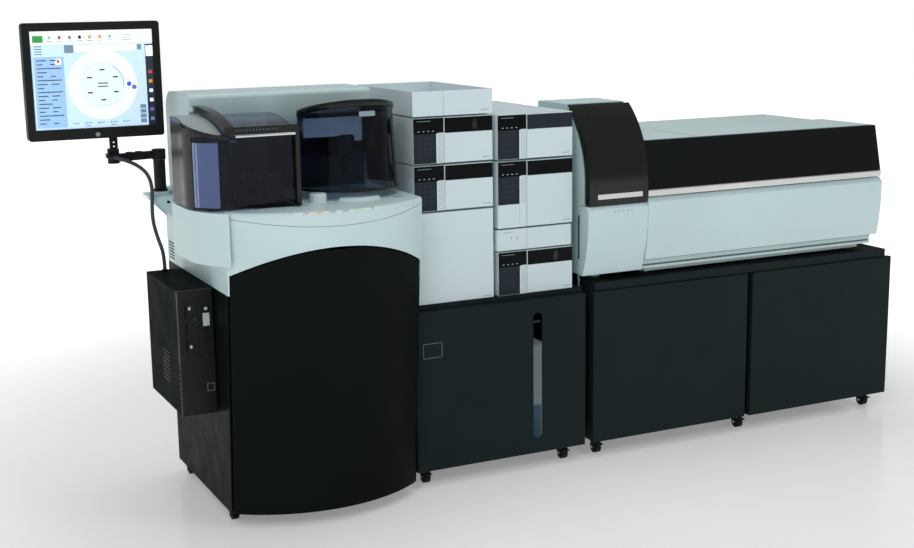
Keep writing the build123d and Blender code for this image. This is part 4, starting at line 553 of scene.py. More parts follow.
class LINE_OT_stage(bpy.types.Operator):
    """Camera, lamps, white room and pale floor"""

    bl_idname = "line.stage"
    bl_label = "Stage"

    def execute(self, context):
        scene = context.scene
        stage = scene.line_stage
        scene.view_settings.view_transform = "Standard"
        eye = bpy.data.cameras.new("eye")
        eye.lens = stage.lens
        eye.sensor_width = SENSOR
        eye.clip_end = FAR_CLIP
        camera = bpy.data.objects.new("eye", eye)
        camera.location = stage.eye
        tilt = Matrix.Rotation(pi / 2 - stage.dip, 4, "X")
        camera.rotation_euler = (
            Matrix.Rotation(-stage.heading, 4, "Z") @ tilt @ Matrix.Rotation(stage.roll, 4, "Z")
        ).to_euler()
        scene.collection.objects.link(camera)
        scene.camera = camera
        for name, spot, target, size, share, mirrored in LAMPS:
            lamp = bpy.data.lights.new(name, "AREA")
            lamp.size = size
            lamp.energy = stage.key_power * share
            holder = bpy.data.objects.new(name, lamp)
            holder.location = spot
            holder.rotation_euler = (Vector(target) - Vector(spot)).to_track_quat("-Z", "Y").to_euler()
            holder.visible_glossy = mirrored
            scene.collection.objects.link(holder)
        self.room(scene, stage.sky)
        self.floor(scene)
        return {"FINISHED"}

    def room(self, scene, sky):
        """White where it is seen or seen through, and a softer light on the line."""
        room = bpy.data.worlds.new("room")
        room.use_nodes = True
        tree = room.node_tree
        background = tree.nodes["Background"]
        rays = tree.nodes.new("ShaderNodeLightPath")
        either = tree.nodes.new("ShaderNodeMath")
        either.operation = "MAXIMUM"
        tree.links.new(rays.outputs["Is Camera Ray"], either.inputs[0])
        tree.links.new(rays.outputs["Is Transmission Ray"], either.inputs[1])
        seen = either.outputs[0]
        strength = tree.nodes.new("ShaderNodeMapRange")
        strength.inputs["To Min"].default_value = sky
        strength.inputs["To Max"].default_value = 1.0
        tree.links.new(seen, strength.inputs["Value"])
        tree.links.new(strength.outputs[0], background.inputs["Strength"])
        background.inputs["Color"].default_value = (1, 1, 1, 1)
        scene.world = room

    def floor(self, scene):
        """A pale polished floor that keeps the line's shadow."""
        tree, shader, coordinates = new_material("floor_white")
        share = spread(tree, noise(tree, coordinates, 0.7), 0, 1)
        shade = blended(tree, share, (0.80, 0.82, 0.82), (0.86, 0.87, 0.87))
        tree.links.new(shade, shader.inputs["Base Color"])
        tree.links.new(spread(tree, noise(tree, coordinates, 6), 0.16, 0.24), shader.inputs["Roughness"])
        shader.inputs["Emission Color"].default_value = (1, 1, 1, 1)
        distance = tree.nodes.new("ShaderNodeVectorMath")
        distance.operation = "LENGTH"
        tree.links.new(coordinates, distance.inputs[0])
        fade = ranged(tree, distance.outputs["Value"], (*FADE_REACH, *FADE_GLOW))
        fade.interpolation_type = "SMOOTHSTEP"
        tree.links.new(fade.outputs[0], shader.inputs["Emission Strength"])
        mesh = bpy.data.meshes.new("floor")
        edges = (-FLOOR_REACH, FLOOR_REACH)
        corners = [(*pair, 0) for pair in rectangle(edges, edges)]
        mesh.from_pydata(corners, [], [(0, 1, 2, 3)])
        mesh.materials.append(materials["floor_white"])
        floor = bpy.data.objects.new("floor", mesh)
        floor.location.z = -FLOOR_DROP
        scene.collection.objects.link(floor)


class LINE_OT_monitor_cable(bpy.types.Operator):
    """Braided cable from the arm's elbow down to the computer"""

    bl_idname = "line.monitor_cable"
    bl_label = "Monitor Cable"

    def execute(self, context):
        route = [
            (-1.1835, 0.162, 1.0214),
            (-1.1485, 0.160, 1.0094),
            (-1.1125, 0.157, 0.9914),
            (-1.0865, 0.153, 0.9644),
            (-1.0775, 0.150, 0.9254),
            (-1.0815, 0.149, 0.8774),
            (-1.0825, 0.147, 0.8274),
            (-1.0715, 0.145, 0.7774),
            (-1.0555, 0.144, 0.7294),
            (-1.0555, 0.144, 0.6820),
        ]
        line = bpy.data.curves.new("cable", "CURVE")
        line.dimensions = "3D"
        line.bevel_depth = 0.0055
        line.bevel_resolution = 6
        line.resolution_u = 16
        spline = line.splines.new("NURBS")
        spline.points.add(len(route) - 1)
        for point, spot in zip(spline.points, route):
            point.co = (*spot, 1)
        spline.order_u = 3
        spline.use_endpoint_u = True
        line.materials.append(materials["braided"])
        cable = bpy.data.objects.new("braided_cable", line)
        context.scene.collection.objects.link(cable)
        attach(cable, "line")
        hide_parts("monitor_cable")
        return {"FINISHED"}


LAYER = 0.0003  # rise of one layer of the page
HOUSING_DEPTH = 0.042
POST = (-1.0345, 0.225)
POST_HEIGHT = 0.088  # from the bracket's foot to the collar
RING_CENTRE = (0.568, 0.44)  # shares of the screen
PAGE_DISC, HUB, HUB_FACE = 0.0965, 0.0620, 0.0612
PLACE_CIRCLES = ((0.0885, 40), (0.0738, 34))  # radius and count of the places in the ring
NAME_CIRCLE, ARC_RADIUS = 0.042, 0.0585


class LINE_OT_monitor(bpy.types.Operator):
    """Page on the touch screen, and fittings of the monitor"""

    bl_idname = "line.monitor"
    bl_label = "Monitor"

    def execute(self, context):
        self.page()
        self.fittings()
        return {"FINISHED"}

    def page(self):
        """A page of generic signs: bar, lists, a ring of places and a side column."""
        start, end = corners("monitor_screen")
        wide, tall = end.x - start.x, end.z - start.z
        glass = start.y
        page = Piece("screen_page")

        def across(share):
            return start.x + share * wide

        def up(share):
            return start.z + share * tall

        def tile(x, z, material, layer=1, radius=0.0):
            outline = rectangle([across(v) for v in x], [up(v) for v in z], radius, 3)
            page.prism("y", outline, (glass - LAYER * layer, glass), material)

        tile((0, 1), (0.865, 1), "page_white")
        tile((0.02, 0.105), (0.885, 0.955), "sign_green", 2, 0.002)
        signs = ("page_side", "sign_red", "page_grey", "page_navy", "sign_orange", "sign_orange", "sign_teal")
        for u, sign in zip(grid(7, 0.155, 0.082), signs):
            tile(about(u, 0.012), (0.915, 0.95), sign, 2, 0.001)
            tile(about(u, 0.024), (0.893, 0.900), "page_grey", 2)
        for row in grid(3, 0.895, 0.022):
            tile((0.75, 0.82), (row, row + 0.007), "page_grey", 2)
        tile((0.02, 0.26), (0.02, 0.74), "page_side", 1, 0.002)
        for row in range(17):
            z = 0.06 + row * 0.040
            length = 0.05 + 0.03 * (row % 3)
            tile((0.04, 0.04 + length), (z, z + 0.009), "page_navy", 2)
            if row % 4 != 1:
                tile((0.15, 0.15 + length * 0.8), (z, z + 0.009), "page_navy", 2)
        for row in grid(4, 0.765, 0.026):
            tile((0.03, 0.09), (row, row + 0.007), "page_navy")
        tile((0.19, 0.24), (0.66, 0.72), "page_white", 2, 0.002)
        tile((0.205, 0.225), (0.675, 0.705), "sign_red", 3, 0.002)
        tile((0.27, 0.345), (0.775, 0.855), "page_grey", 1, 0.001)
        tile((0.35, 0.86), (0.785, 0.85), "page_white", 1)
        tile((0.87, 0.905), (0.79, 0.845), "page_grey", 1, 0.001)
        tile((0.935, 1), (0, 0.845), "page_navy", 1)
        tile((0.94, 1), (0.72, 0.83), "page_white", 2, 0.001)
        column_signs = ("page_grey", "sign_violet", "page_white", "page_white", "sign_orange", "sign_red", "page_navy")
        for z, sign in zip(grid(7, 0.05, 0.098), column_signs):
            tile((0.955, 0.985), (z, z + 0.035), sign, 3, 0.001)
        for z in grid(4, 0.03, 0.05):
            tile((0.87, 0.92), (z, z + 0.04), "page_grey", 1, 0.001)
        for column, sign in enumerate(("sign_teal", "sign_blue", "sign_violet", "sign_red", "sign_green")):
            u = 0.30 + column * 0.105
            tile((u, u + 0.012), (0.045, 0.06), sign, 1, 0.001)
            tile(off(u, 0.018, 0.055), (0.048, 0.056), "page_grey", 1)
            if column % 2:
                tile(off(u, 0.005, 0.045), (0.02, 0.028), "page_grey", 1)
        centre = (across(RING_CENTRE[0]), up(RING_CENTRE[1]))
        page.peg("y", centre, PAGE_DISC, off(glass, 0, -LAYER), "page_white", 64)
        page.peg("y", centre, HUB, off(glass, 0, -0.0006), "page_grey", 64)
        page.peg("y", centre, HUB_FACE, off(glass, 0, -0.0008), "page_pale", 64)
        for radius, count in PLACE_CIRCLES:
            for i, spot in enumerate(disc(centre, radius, count)):
                page.ring("y", spot, 0.0058, 0.0050, off(glass, 0, -0.0006), "page_side", 12)
                if (i * 7) % 5 < 2:
                    page.peg("y", spot, 0.0011, off(glass, 0, -0.0006), "page_grey", 8)
        for radius, sign, angle in ((0.0738, "sign_blue", 0), (0.0885, "sign_violet", -6)):
            spot = around(centre, radius, 1, angle)[0]
            page.peg("y", spot, 0.0066, off(glass, 0, -0.0009), sign)
        for x, z in around(centre, NAME_CIRCLE, 6, 30):
            page.plate("y", about(x, 0.007), about(z, 0.002), off(glass, 0, -0.001), "page_navy")
        for row in (0.003, -0.006):
            outline = rectangle(about(centre[0], 0.014), (centre[1] + row, centre[1] + row + 0.003))
            page.prism("y", outline, off(glass, 0, -0.001), "page_navy")
        arc = [place("y", around(centre, ARC_RADIUS, 1, turn)[0], glass - LAYER * 3) for turn in range(-4, 66, 5)]
        page.tube(arc, 0.0007, "sign_blue", 6)
        page.done("monitor")

    def fittings(self):
        """Bare plate in front; vents, screws and a socket plate at the back."""
        start, end = corners("monitor_housing")
        back = start.y + HOUSING_DEPTH
        middle = (start.x + end.x) / 2
        fittings = Piece("monitor_fittings")
        fittings.plate(
            "y", about(middle, 0.006), off(start.z, 0.006, 0.017), off(start.y, -0.0004, 0.001), "mark_grey", 0.001
        )
        for row in range(9):
            z = start.z + 0.20 + row * 0.009
            fittings.plate("y", about(middle, 0.09), (z, z + 0.0035), off(back, -0.0005, 0.0006), "vent_black", 0.0015)
        for x in about(middle, 0.05):
            for z in off(start.z, 0.10, 0.17):
                fittings.knob("y", (x, z), 0.0045, off(back, -0.001, 0.0015), (0.003, back + 0.002), "steel")
        fittings.plate(
            "y", about(middle, 0.07), off(start.z, 0.03, 0.06), off(back, -0.0005, 0.0008), "display_black", 0.003
        )
        fittings.done("monitor", 0.0002)
        self.tilt()

    def tilt(self):
        """Knobs and plates of the tilt head, and caps on the arm's hubs."""
        head_low, head_high = corners("monitor_tilt_head")
        centre = ((head_low.y + head_high.y) / 2, head_high.z - 0.013)
        head = Piece("tilt_fittings")
        for side, x in ((-1, head_low.x), (1, head_high.x)):
            head.knob(
                "x", centre, 0.010, (x - side * 0.001, x + side * 0.004), (0.006, x + side * 0.006), "steel_dark"
            )
        neck_x = (head_low.x + head_high.x) / 2
        head.block(
            about(neck_x, 0.012), off(centre[0], -0.013, -0.009), (head_low.z + 0.014, centre[1] - 0.016),
            "matte_black",
        )
        for z in off(head_low.z, 0.020, 0.032):
            head.peg("y", (neck_x, z), 0.003, off(centre[0], -0.0125, -0.0145), "chrome", 12)
        head.done("tilt_head", 0.0006)
        arm_low, arm_high = corners("arm_link")
        arm = Piece("arm_fittings")
        elbow = (neck_x, centre[0])
        arm.peg("z", POST, 0.0205, off(arm_high.z, -0.012, -0.008), "matte_black", 28)
        for share in (0.35, 0.55):
            x = elbow[0] + share * (POST[0] - elbow[0])
            y = elbow[1] + share * (POST[1] - elbow[1])
            arm.knob(
                "z", (x, y), 0.013, (arm_low.z + 0.006, arm_high.z - 0.009), (0.010, arm_high.z - 0.006), "matte_black"
            )
        arm.done("monitor_arm", 0.0006)
        post_cap = Piece("post_collar")
        base = low("arm_bracket").z + POST_HEIGHT
        post_cap.knob("z", POST, 0.0215, off(base, 0, 0.014), (0.018, base + 0.018), "matte_black", 28)
        post_cap.peg("z", POST, 0.0175, (base + 0.012, arm_low.z - 0.0008), "matte_black", 28)
        post_cap.done("line", 0.0004)


# ---------------------------------------------------------------- fronts of the modules
CONTROL_SHARE = 0.38  # of a module's width, left of its door
MODULE_WIDTH = 0.26
MODULES = {
    "pump_a": {"oval": False},
    "pump_b": {"oval": True},
    "pump_c": {"oval": True},
    "autosampler": {"oval": False, "keypad_height": 0.084},
    "controller": {"oval": False, "grey_band": True},
}


class LINE_OT_module_fronts(bpy.types.Operator):
    """Display, keypad, embossed rings and black band of each module"""

    bl_idname = "line.module_fronts"
    bl_label = "Module Fronts"

    def execute(self, context):
        size = context.scene.line_fronts
        for name, traits in MODULES.items():
            start, end = corners("lc_" + name)
            seam = start.x + CONTROL_SHARE * (end.x - start.x)
            self.control(name, traits, start, end, seam, size)
            self.door(name, traits, start, end, seam, size)
        return {"FINISHED"}

    def control(self, name, traits, start, end, seam, size):
        """The fixed part: display, keypad, ring column and bare name places."""
        face = start.y
        proud = face - size.relief
        top, foot = end.z - 0.002, start.z + 0.002
        display_low = end.z - size.band
        pad_right = start.x + size.keypad
        pad_low = display_low - traits["keypad_height"] if "keypad_height" in traits else foot
        control = Piece(name + "_control")
        control.plate("y", (start.x + 0.001, seam - 0.001), (display_low, top), (face, proud), "display_black", 0.0008)
        control.plate("y", (start.x + 0.001, pad_right), (pad_low, display_low), (face, proud), "keypad_grey", 0.0008)
        strip = rectangle((pad_right, seam - 0.001), (foot, display_low + 0.002), (0, 0, 0, 0.008))
        control.prism("y", strip, (face, proud - 0.0004), "module_white")
        for x in grid(4, start.x + 0.015, 0.0155):
            control.plate("y", (x, x + 0.0055), off(display_low, 0.007, 0.0085), (face, proud - 0.0002), "mark_white")
        control.plate("y", off(start.x, 0.012, 0.056), off(top, -0.009, -0.0075), (face, proud - 0.0001), "mark_grey")
        self.keys(control, start.x + 0.017, pad_low, display_low, face, proud)
        ring_x = start.x + 0.0870
        ring_top = display_low - 0.0085
        pitch = min((ring_top - pad_low - 0.010) / (size.rings - 1), 0.0178)
        for z in grid(size.rings, ring_top, -pitch):
            control.ring("y", (ring_x, z), size.ring, size.ring - 0.0009, (face, proud - 0.0009), "module_white", 28)
            control.ring(
                "y", (ring_x, z), size.ring - 0.0009, size.ring - 0.0016, (face, proud - 0.0010), "mark_grey", 28
            )
        control.done("line")

    def keys(self, control, left, pad_low, display_low, face, proud):
        """Four rows of soft keys under the keypad film."""
        rows = 4
        pitch = min((display_low - pad_low - 0.016) / rows, 0.0155)
        for row in range(rows):
            z = display_low - 0.018 - row * pitch
            for x in grid(3, left, 0.0148):
                control.plate(
                    "y", (x, x + 0.0105), (z, z + pitch * 0.62), (face, proud - 0.00025), "key_grey", 0.0016, 3
                )

    def door(self, name, traits, start, end, seam, size):
        """The hinged part: black band, oval window, hinge pin and bare name place."""
        face = start.y
        proud = face - size.relief
        band_low = end.z - size.band + 0.0005
        door = Piece(name + "_band")
        tone = "keypad_grey" if traits.get("grey_band") else "display_black"
        door.plate("y", (seam + 0.003, end.x - 0.001), (band_low, end.z - 0.003), (face, proud), tone, 0.0008)
        if traits["oval"]:
            middle = (end.x - 0.060, band_low + 0.021)
            door.prism("y", oval(middle, 0.0082, 0.0155), (face, proud - 0.0002), "keypad_grey")
            door.prism("y", oval(middle, 0.0072, 0.0145), (face, proud - 0.0004), "gloss_black")
        door.mark(off(end.x, -0.036, -0.008), off(start.z, 0.011, 0.0125), face)
        pin = (seam + 0.0006, face - 0.0004)
        door.peg("z", pin, 0.0005, (start.z + 0.003, end.z - 0.006), "trim_silver", 10)
        door.done(name + "_door")


class LINE_OT_slim_fronts(bpy.types.Operator):
    """Degasser, solvent tray and column oven"""

    bl_idname = "line.slim_fronts"
    bl_label = "Degasser, Tray and Oven"

    def execute(self, context):
        start, end = corners("lc_degasser")
        seam = low("lc_autosampler").x + CONTROL_SHARE * MODULE_WIDTH
        face = start.y
        slim = Piece("degasser_marks")
        slim.plate("y", about(seam, 0.0005), (start.z + 0.001, end.z - 0.001), off(face, 0.001, -PRINT), "mark_grey")
        for x in (-0.0719, -0.0518):
            slim.plate("y", about(x, 0.0012), off(start.z, 0.034, 0.041), (face, face - 0.0005), "mark_grey", 0.001, 3)
            slim.peg("y", (x + 0.001, start.z + 0.031), 0.0011, (face, face - 0.0006), "print_green", 10)
        slim.mark(off(start.x, 0.022, 0.050), off(end.z, -0.010, -0.0085), face)
        slim.done("line")
        self.tray()
        self.oven()
        return {"FINISHED"}

    def tray(self):
        """Seam on the tray's front, its ribbed mat and a bare name place."""
        start, end = corners("lc_reservoir_tray")
        seam = start.x + CONTROL_SHARE * (end.x - start.x)
        tray = Piece("tray_fittings")
        tray.plate("y", about(seam, 0.0005), (start.z + 0.001, end.z), off(start.y, 0.001, -PRINT), "mark_grey")
        tray.block(
            (start.x + 0.0065, end.x - 0.0065), (start.y + 0.0065, end.y - 0.0065), off(start.z, 0.006, 0.0072),
            "white_plastic",
        )
        for x in grid(7, start.x + 0.035, 0.0315):
            tray.block((x, x + 0.004), (start.y + 0.02, end.y - 0.02), off(start.z, 0.007, 0.0085), "white_plastic")
        tray.mark(off(end.x, -0.040, -0.012), off(start.z, 0.011, 0.0125), start.y)
        tray.done("line")

    def oven(self):
        """Finger grips on the oven door's edge, its gasket and a bare name place."""
        start, end = corners("lc_oven_door")
        oven = Piece("oven_door_fittings")
        for z in off(start.z, 0.095, 0.169):
            oven.block(off(end.x, -0.0038, -0.0004), off(start.y, 0.0085, 0.0115), (z, z + 0.028), "mark_grey")
        oven.mark(off(end.x, -0.036, -0.008), off(start.z, 0.006, 0.0075), start.y)
        oven.done("oven_door")
        cavity = Piece("oven_gasket")
        rim_y = end.y + 0.0008
        for x in (start.x + 0.012, end.x - 0.014):
            cavity.block((x, x + 0.002), off(rim_y, -0.0006, 0.001), (start.z + 0.012, end.z - 0.012), "rubber_black")
        for z in (start.z + 0.012, end.z - 0.014):
            cavity.block((start.x + 0.012, end.x - 0.012), off(rim_y, -0.0006, 0.001), (z, z + 0.002), "rubber_black")
        cavity.done("line")


# ---------------------------------------------------------------- cabinets
AXLES = {  # the casters' places across the line and along its depth
    "station": ((-0.9745, -0.4555), (-0.179, 0.265)),
    "chromatograph": ((-0.3625, 0.1225), (-0.161, 0.385)),
    "bench": ((0.2475, 0.8135, 1.3655), (-0.161, 0.385)),
}
WHEEL_CENTRE = 0.020
SLOT_FROM_RIGHT = (0.189, 0.156)  # the door slot's edges, from the cabinet's right side
SLOT_HEIGHTS = (0.100, 0.503)


class LINE_OT_cabinets(bpy.types.Operator):
    """Slot rim, bare label frame, and fittings of the tank, the casters and the rough pump"""

    bl_idname = "line.cabinets"
    bl_label = "Cabinets"

    def execute(self, context):
        self.slot()
        self.tank()
        self.casters()
        self.pump()
        return {"FINISHED"}

    def slot(self):
        """Rounded rim of the door's slot, a stop bar in it and a bare label frame."""
        cabinet_right = high("lc_cabinet").x
        face = low("lc_cabinet_door").y
        across, up = [cabinet_right - gap for gap in SLOT_FROM_RIGHT], SLOT_HEIGHTS
        inner = rectangle((across[0] + 0.0008, across[1] - 0.0008), (up[0] + 0.0008, up[1] - 0.0008), 0.0145)
        outer = rectangle((across[0] - 0.0012, across[1] + 0.0012), (up[0] - 0.0012, up[1] + 0.0012), 0.0005)
        door = Piece("slot_rim")
        door.band("y", inner, outer, off(face, -0.0003, 0.0026), "cabinet_grey")
        door.block((across[0] + 0.003, across[1] - 0.003), off(face, 0.006, 0.009), (0.470, 0.4765), "gloss_black")
        label = rectangle((-0.386, -0.324), (0.404, 0.449), 0.002)
        bare = rectangle((-0.3848, -0.3252), (0.4052, 0.4478), 0.0015)
        door.band("y", bare, label, (face, face - 0.0006), "mark_grey")
        door.done("lc_door")

    def tank(self):
        """Cap, level, marks and hose of the waste tank."""
        start, end = corners("lc_waste_tank")
        middle = ((start.x + end.x) / 2, (start.y + end.y) / 2)
        shoulder = end.z - 0.026
        tank = Piece("tank_fittings")
        # cap and level in the tank's blue, which carries a painted glow
        tank.knob("z", middle, 0.027, (shoulder + 0.006, end.z), (0.024, end.z + 0.003), "tank_blue_painted_glow", 28)
        face = start.y
        level = rectangle((start.x + 0.025, end.x - 0.025), off(start.z, 0.003, 0.130), 0.004)
        tank.prism("y", level, (face, face - 0.0006), "tank_blue_painted_glow")
        for z in grid(5, start.z + 0.160, 0.036):
            tank.plate("y", off(middle[0], -0.014, -0.004), (z, z + 0.0012), (face, face - 0.0007), "mark_grey")
        tank.tube(
            [
                (middle[0], middle[1], end.z), (middle[0], middle[1] + 0.02, end.z + 0.05),
                (middle[0] + 0.03, middle[1] + 0.10, end.z + 0.09), (middle[0] + 0.05, middle[1] + 0.24, end.z + 0.11),
            ],
            0.004, "hose_blue",
        )
        tank.done("line", 0.0005)

    def casters(self):
        """Hubs, axle caps, fork bridges and brake pedals."""
        fittings = Piece("caster_fittings")
        for x, y in [(x, y) for across, deep in AXLES.values() for x in across for y in deep]:
            side = -1 if y < 0 else 1
            axle = (y, WHEEL_CENTRE)
            fittings.peg("x", axle, 0.0075, about(x, 0.0098), "alloy")
            for end in (-1, 1):
                sections = [(0.0042, x + end * 0.0138), (0.0042, x + end * 0.0156), (0.003, x + end * 0.0162)]
                fittings.turned("x", axle, sections, "chrome", 12)
            bridge = sorted((y + side * 0.0092, y + side * 0.0115))
            fittings.block(about(x, 0.0105), bridge, (0.034, 0.047), "alloy")
            if side < 0:
                fittings.block(about(x, 0.008), (y - 0.033, y - 0.0125), (0.0315, 0.0355), "rubber_black")
        fittings.done("line", 0.0004)

    def pump(self):
        """Hoses, oil window, plate and cooling ribs of the rough pump."""
        start, end = corners("rough_vacuum_pump")
        middle = (start.x + end.x) / 2
        crown = end.z - 0.050
        pump = Piece("rough_pump_fittings")
        for y in off(start.y, 0.050, 0.130):
            pump.peg("z", (middle, y), 0.0185, off(end.z, -0.016, -0.002), "alloy", 24)
        back = start.y + 0.130
        pump.tube(
            [
                (middle, back, end.z - 0.004), (middle, back + 0.01, end.z + 0.06),
                (middle + 0.02, back + 0.10, end.z + 0.13), (middle + 0.03, back + 0.28, end.z + 0.17),
            ],
            0.012, "steel",
        )
        # oil window in the tank's blue, which carries a painted glow
        pump.peg("y", (middle, start.z + 0.062), 0.014, off(start.y, -0.0015, 0.002), "tank_blue_painted_glow", 24)
        pump.ring("y", (middle, start.z + 0.062), 0.018, 0.014, off(start.y, -0.003, 0.002), "alloy")
        pump.plate("y", about(middle, 0.04), off(crown, -0.050, -0.024), off(start.y, 0, -0.0006), "alloy", 0.002)
        for x in grid(9, middle - 0.048, 0.012):
            pump.block(about(x, 0.001), off(start.y, 0.165, 0.185), (start.z + 0.03, crown + 0.003), "steel_dark")
        pump.done("line", 0.0004)


# ---------------------------------------------------------------- sample station
def circle_through(a, b, c):
    """Centre and radius of the circle through three points of a plane."""
    double = 2 * (a[0] * (b[1] - c[1]) + b[0] * (c[1] - a[1]) + c[0] * (a[1] - b[1]))
    squares = [p[0] ** 2 + p[1] ** 2 for p in (a, b, c)]
    x = (squares[0] * (b[1] - c[1]) + squares[1] * (c[1] - a[1]) + squares[2] * (a[1] - b[1])) / double
    y = (squares[0] * (c[0] - b[0]) + squares[1] * (a[0] - c[0]) + squares[2] * (b[0] - a[0])) / double
    return Vector((x, y)), (Vector(a) - Vector((x, y))).length


def arc_through(a, b, c, steps):
    """Points from a through b to c along their circle."""
    centre = circle_through(a, b, c)[0]
    first = Vector(a) - centre
    last = Vector(c) - centre
    sweep = first.angle_signed(last)
    points = []
    for i in range(steps + 1):
        turn = -sweep * i / steps
        points.append(
            centre + Vector((first.x * cos(turn) - first.y * sin(turn), first.x * sin(turn) + first.y * cos(turn)))
        )
    return points


LIP = 0.009  # radius of the deck's rounded edge
KEY_TILT = radians(48)
FILM_REACH, FILM_BACK = 0.0092, 0.0080  # from the middle of the rounded edge
STRIP_START, STRIP_STEP = -0.846, 0.0122
KEYS = (  # place across, width, tone
    (-0.813, 0.017, "print_red"), (-0.778, 0.024, "print_orange"), (-0.741, 0.021, "print_grey"),
    (-0.704, 0.021, "print_grey"), (-0.666, 0.030, "print_green"), (-0.622, 0.009, "print_grey"),
)
VIAL_SLOTS = ((-0.7635, -0.294), (-0.7135, -0.302))
LOCK = (-0.4785, -0.207)
PROBE_REST = (-0.483, -0.275)
BOSS = (-0.7175, -0.257)


class LINE_OT_station_deck(bpy.types.Operator):
    """Film and keys, slot inserts, lock and boss of the station's deck, and its corner's fittings"""

    bl_idname = "line.station_deck"
    bl_label = "Station Deck"

    def execute(self, context):
        start, end = corners("prep_deck")
        top = low("prep_left_cover").z - 0.003
        middle = (start.x + end.x) / 2
        ends_y = start.y + 0.115
        centre, radius = circle_through((start.x, ends_y), (middle, start.y), (end.x, ends_y))
        deck = Piece("deck_fittings")

        def edge(x, tilt, reach):
            """A place on the rounded front edge, and the way it faces."""
            y = centre.y - sqrt(radius**2 - (x - centre.x) ** 2)
            outward = Vector((x - centre.x, y - centre.y, 0)).normalized()
            facing = outward * cos(tilt) + Vector((0, 0, sin(tilt)))
            return Vector((x, y, top - LIP)) - outward * LIP + facing * reach, facing

        rings = []
        for x in grid(21, STRIP_START, STRIP_STEP):
            outer = [edge(x, radians(tilt), FILM_REACH)[0] for tilt in (14, 28, 45, 64, 84)]
            inner = [edge(x, radians(tilt), FILM_BACK)[0] for tilt in (84, 45, 14)]
            rings.append(outer + inner)
        deck.skin(rings, "film_white", smooth=True)
        for x, width, tone in KEYS:
            spot, facing = edge(x, KEY_TILT, FILM_REACH)
            deck.pad(
                spot, facing, rectangle((-width / 2, width / 2), (-0.0036, 0.0036), 0.0022, 3), 0.0003, tone, 0.002
            )
            sign = "mark_grey" if tone != "print_green" else "print_green"
            deck.pad(spot, facing, rectangle((-0.0016, 0.0016), (-0.0016, 0.0016), 0.0006, 2), 0.0006, sign)
        for x, y in VIAL_SLOTS:
            deck.plate("z", about(x, 0.0145), about(y, 0.0043), off(top, -0.003, -0.0012), "slot_yellow", 0.004)
            deck.plate("z", about(x, 0.009), about(y, 0.0022), off(top, -0.0013, -0.0008), "shadow_gap", 0.002)
        deck.ring("z", LOCK, 0.007, 0.0034, off(top, -0.001, 0.0012), "chrome")
        deck.block((-0.4795, -0.4775), (-0.210, -0.204), off(top, -0.001, 0.0008), "shadow_gap")
        deck.prism("z", oval(PROBE_REST, 0.016, 0.006), off(top, -0.001, 0.0006), "mark_grey")
        deck.turned(
            "z", BOSS, [(0.0255, top - 0.001), (0.0240, top + 0.022), (0.0215, top + 0.0246)], "film_white", 36
        )
        deck.ring("z", BOSS, 0.009, 0.0075, off(top, 0.0240, 0.0250), "bracket_grey")
        deck.done("line", 0.0002)
        self.side()
        return {"FINISHED"}

    def side(self):
        """Slot, vents and lamp on the bulged corner and the cabinet's left side."""
        left = low("prep_corner_panel").x
        side = Piece("corner_fittings")
        side.plate("x", (0.004, 0.020), (0.897, 0.903), off(left, 0.001, 0.006), "shadow_gap", 0.002)
        side.peg("x", (-0.096, 0.858), 0.004, off(left, 0.0035, 0.0012), "mark_grey", 16)
        cabinet = low("prep_body").x
        for z in grid(6, 0.690, 0.0095):
            side.plate("x", (0.236, 0.292), (z, z + 0.0042), off(cabinet, -0.0004, 0.001), "vent_black", 0.0018)
        side.done("line")


ROOF_RIGHT = -0.9945  # right edge of the left cover's roof plate
FOOT_RADIUS, TOP_RADIUS, LEAN = 0.153, 0.139, 0.014  # of the right cover's round front
TOP_FALL = 0.056
LABEL_TURN, LABEL_HEIGHT = -84, 1.1455
WELL = (-0.910, -0.855)  # the opening in the bay's floor
SHELF_HEIGHT = 1.044
PLATE_FACE = -0.141  # the pale plate inside the right cover


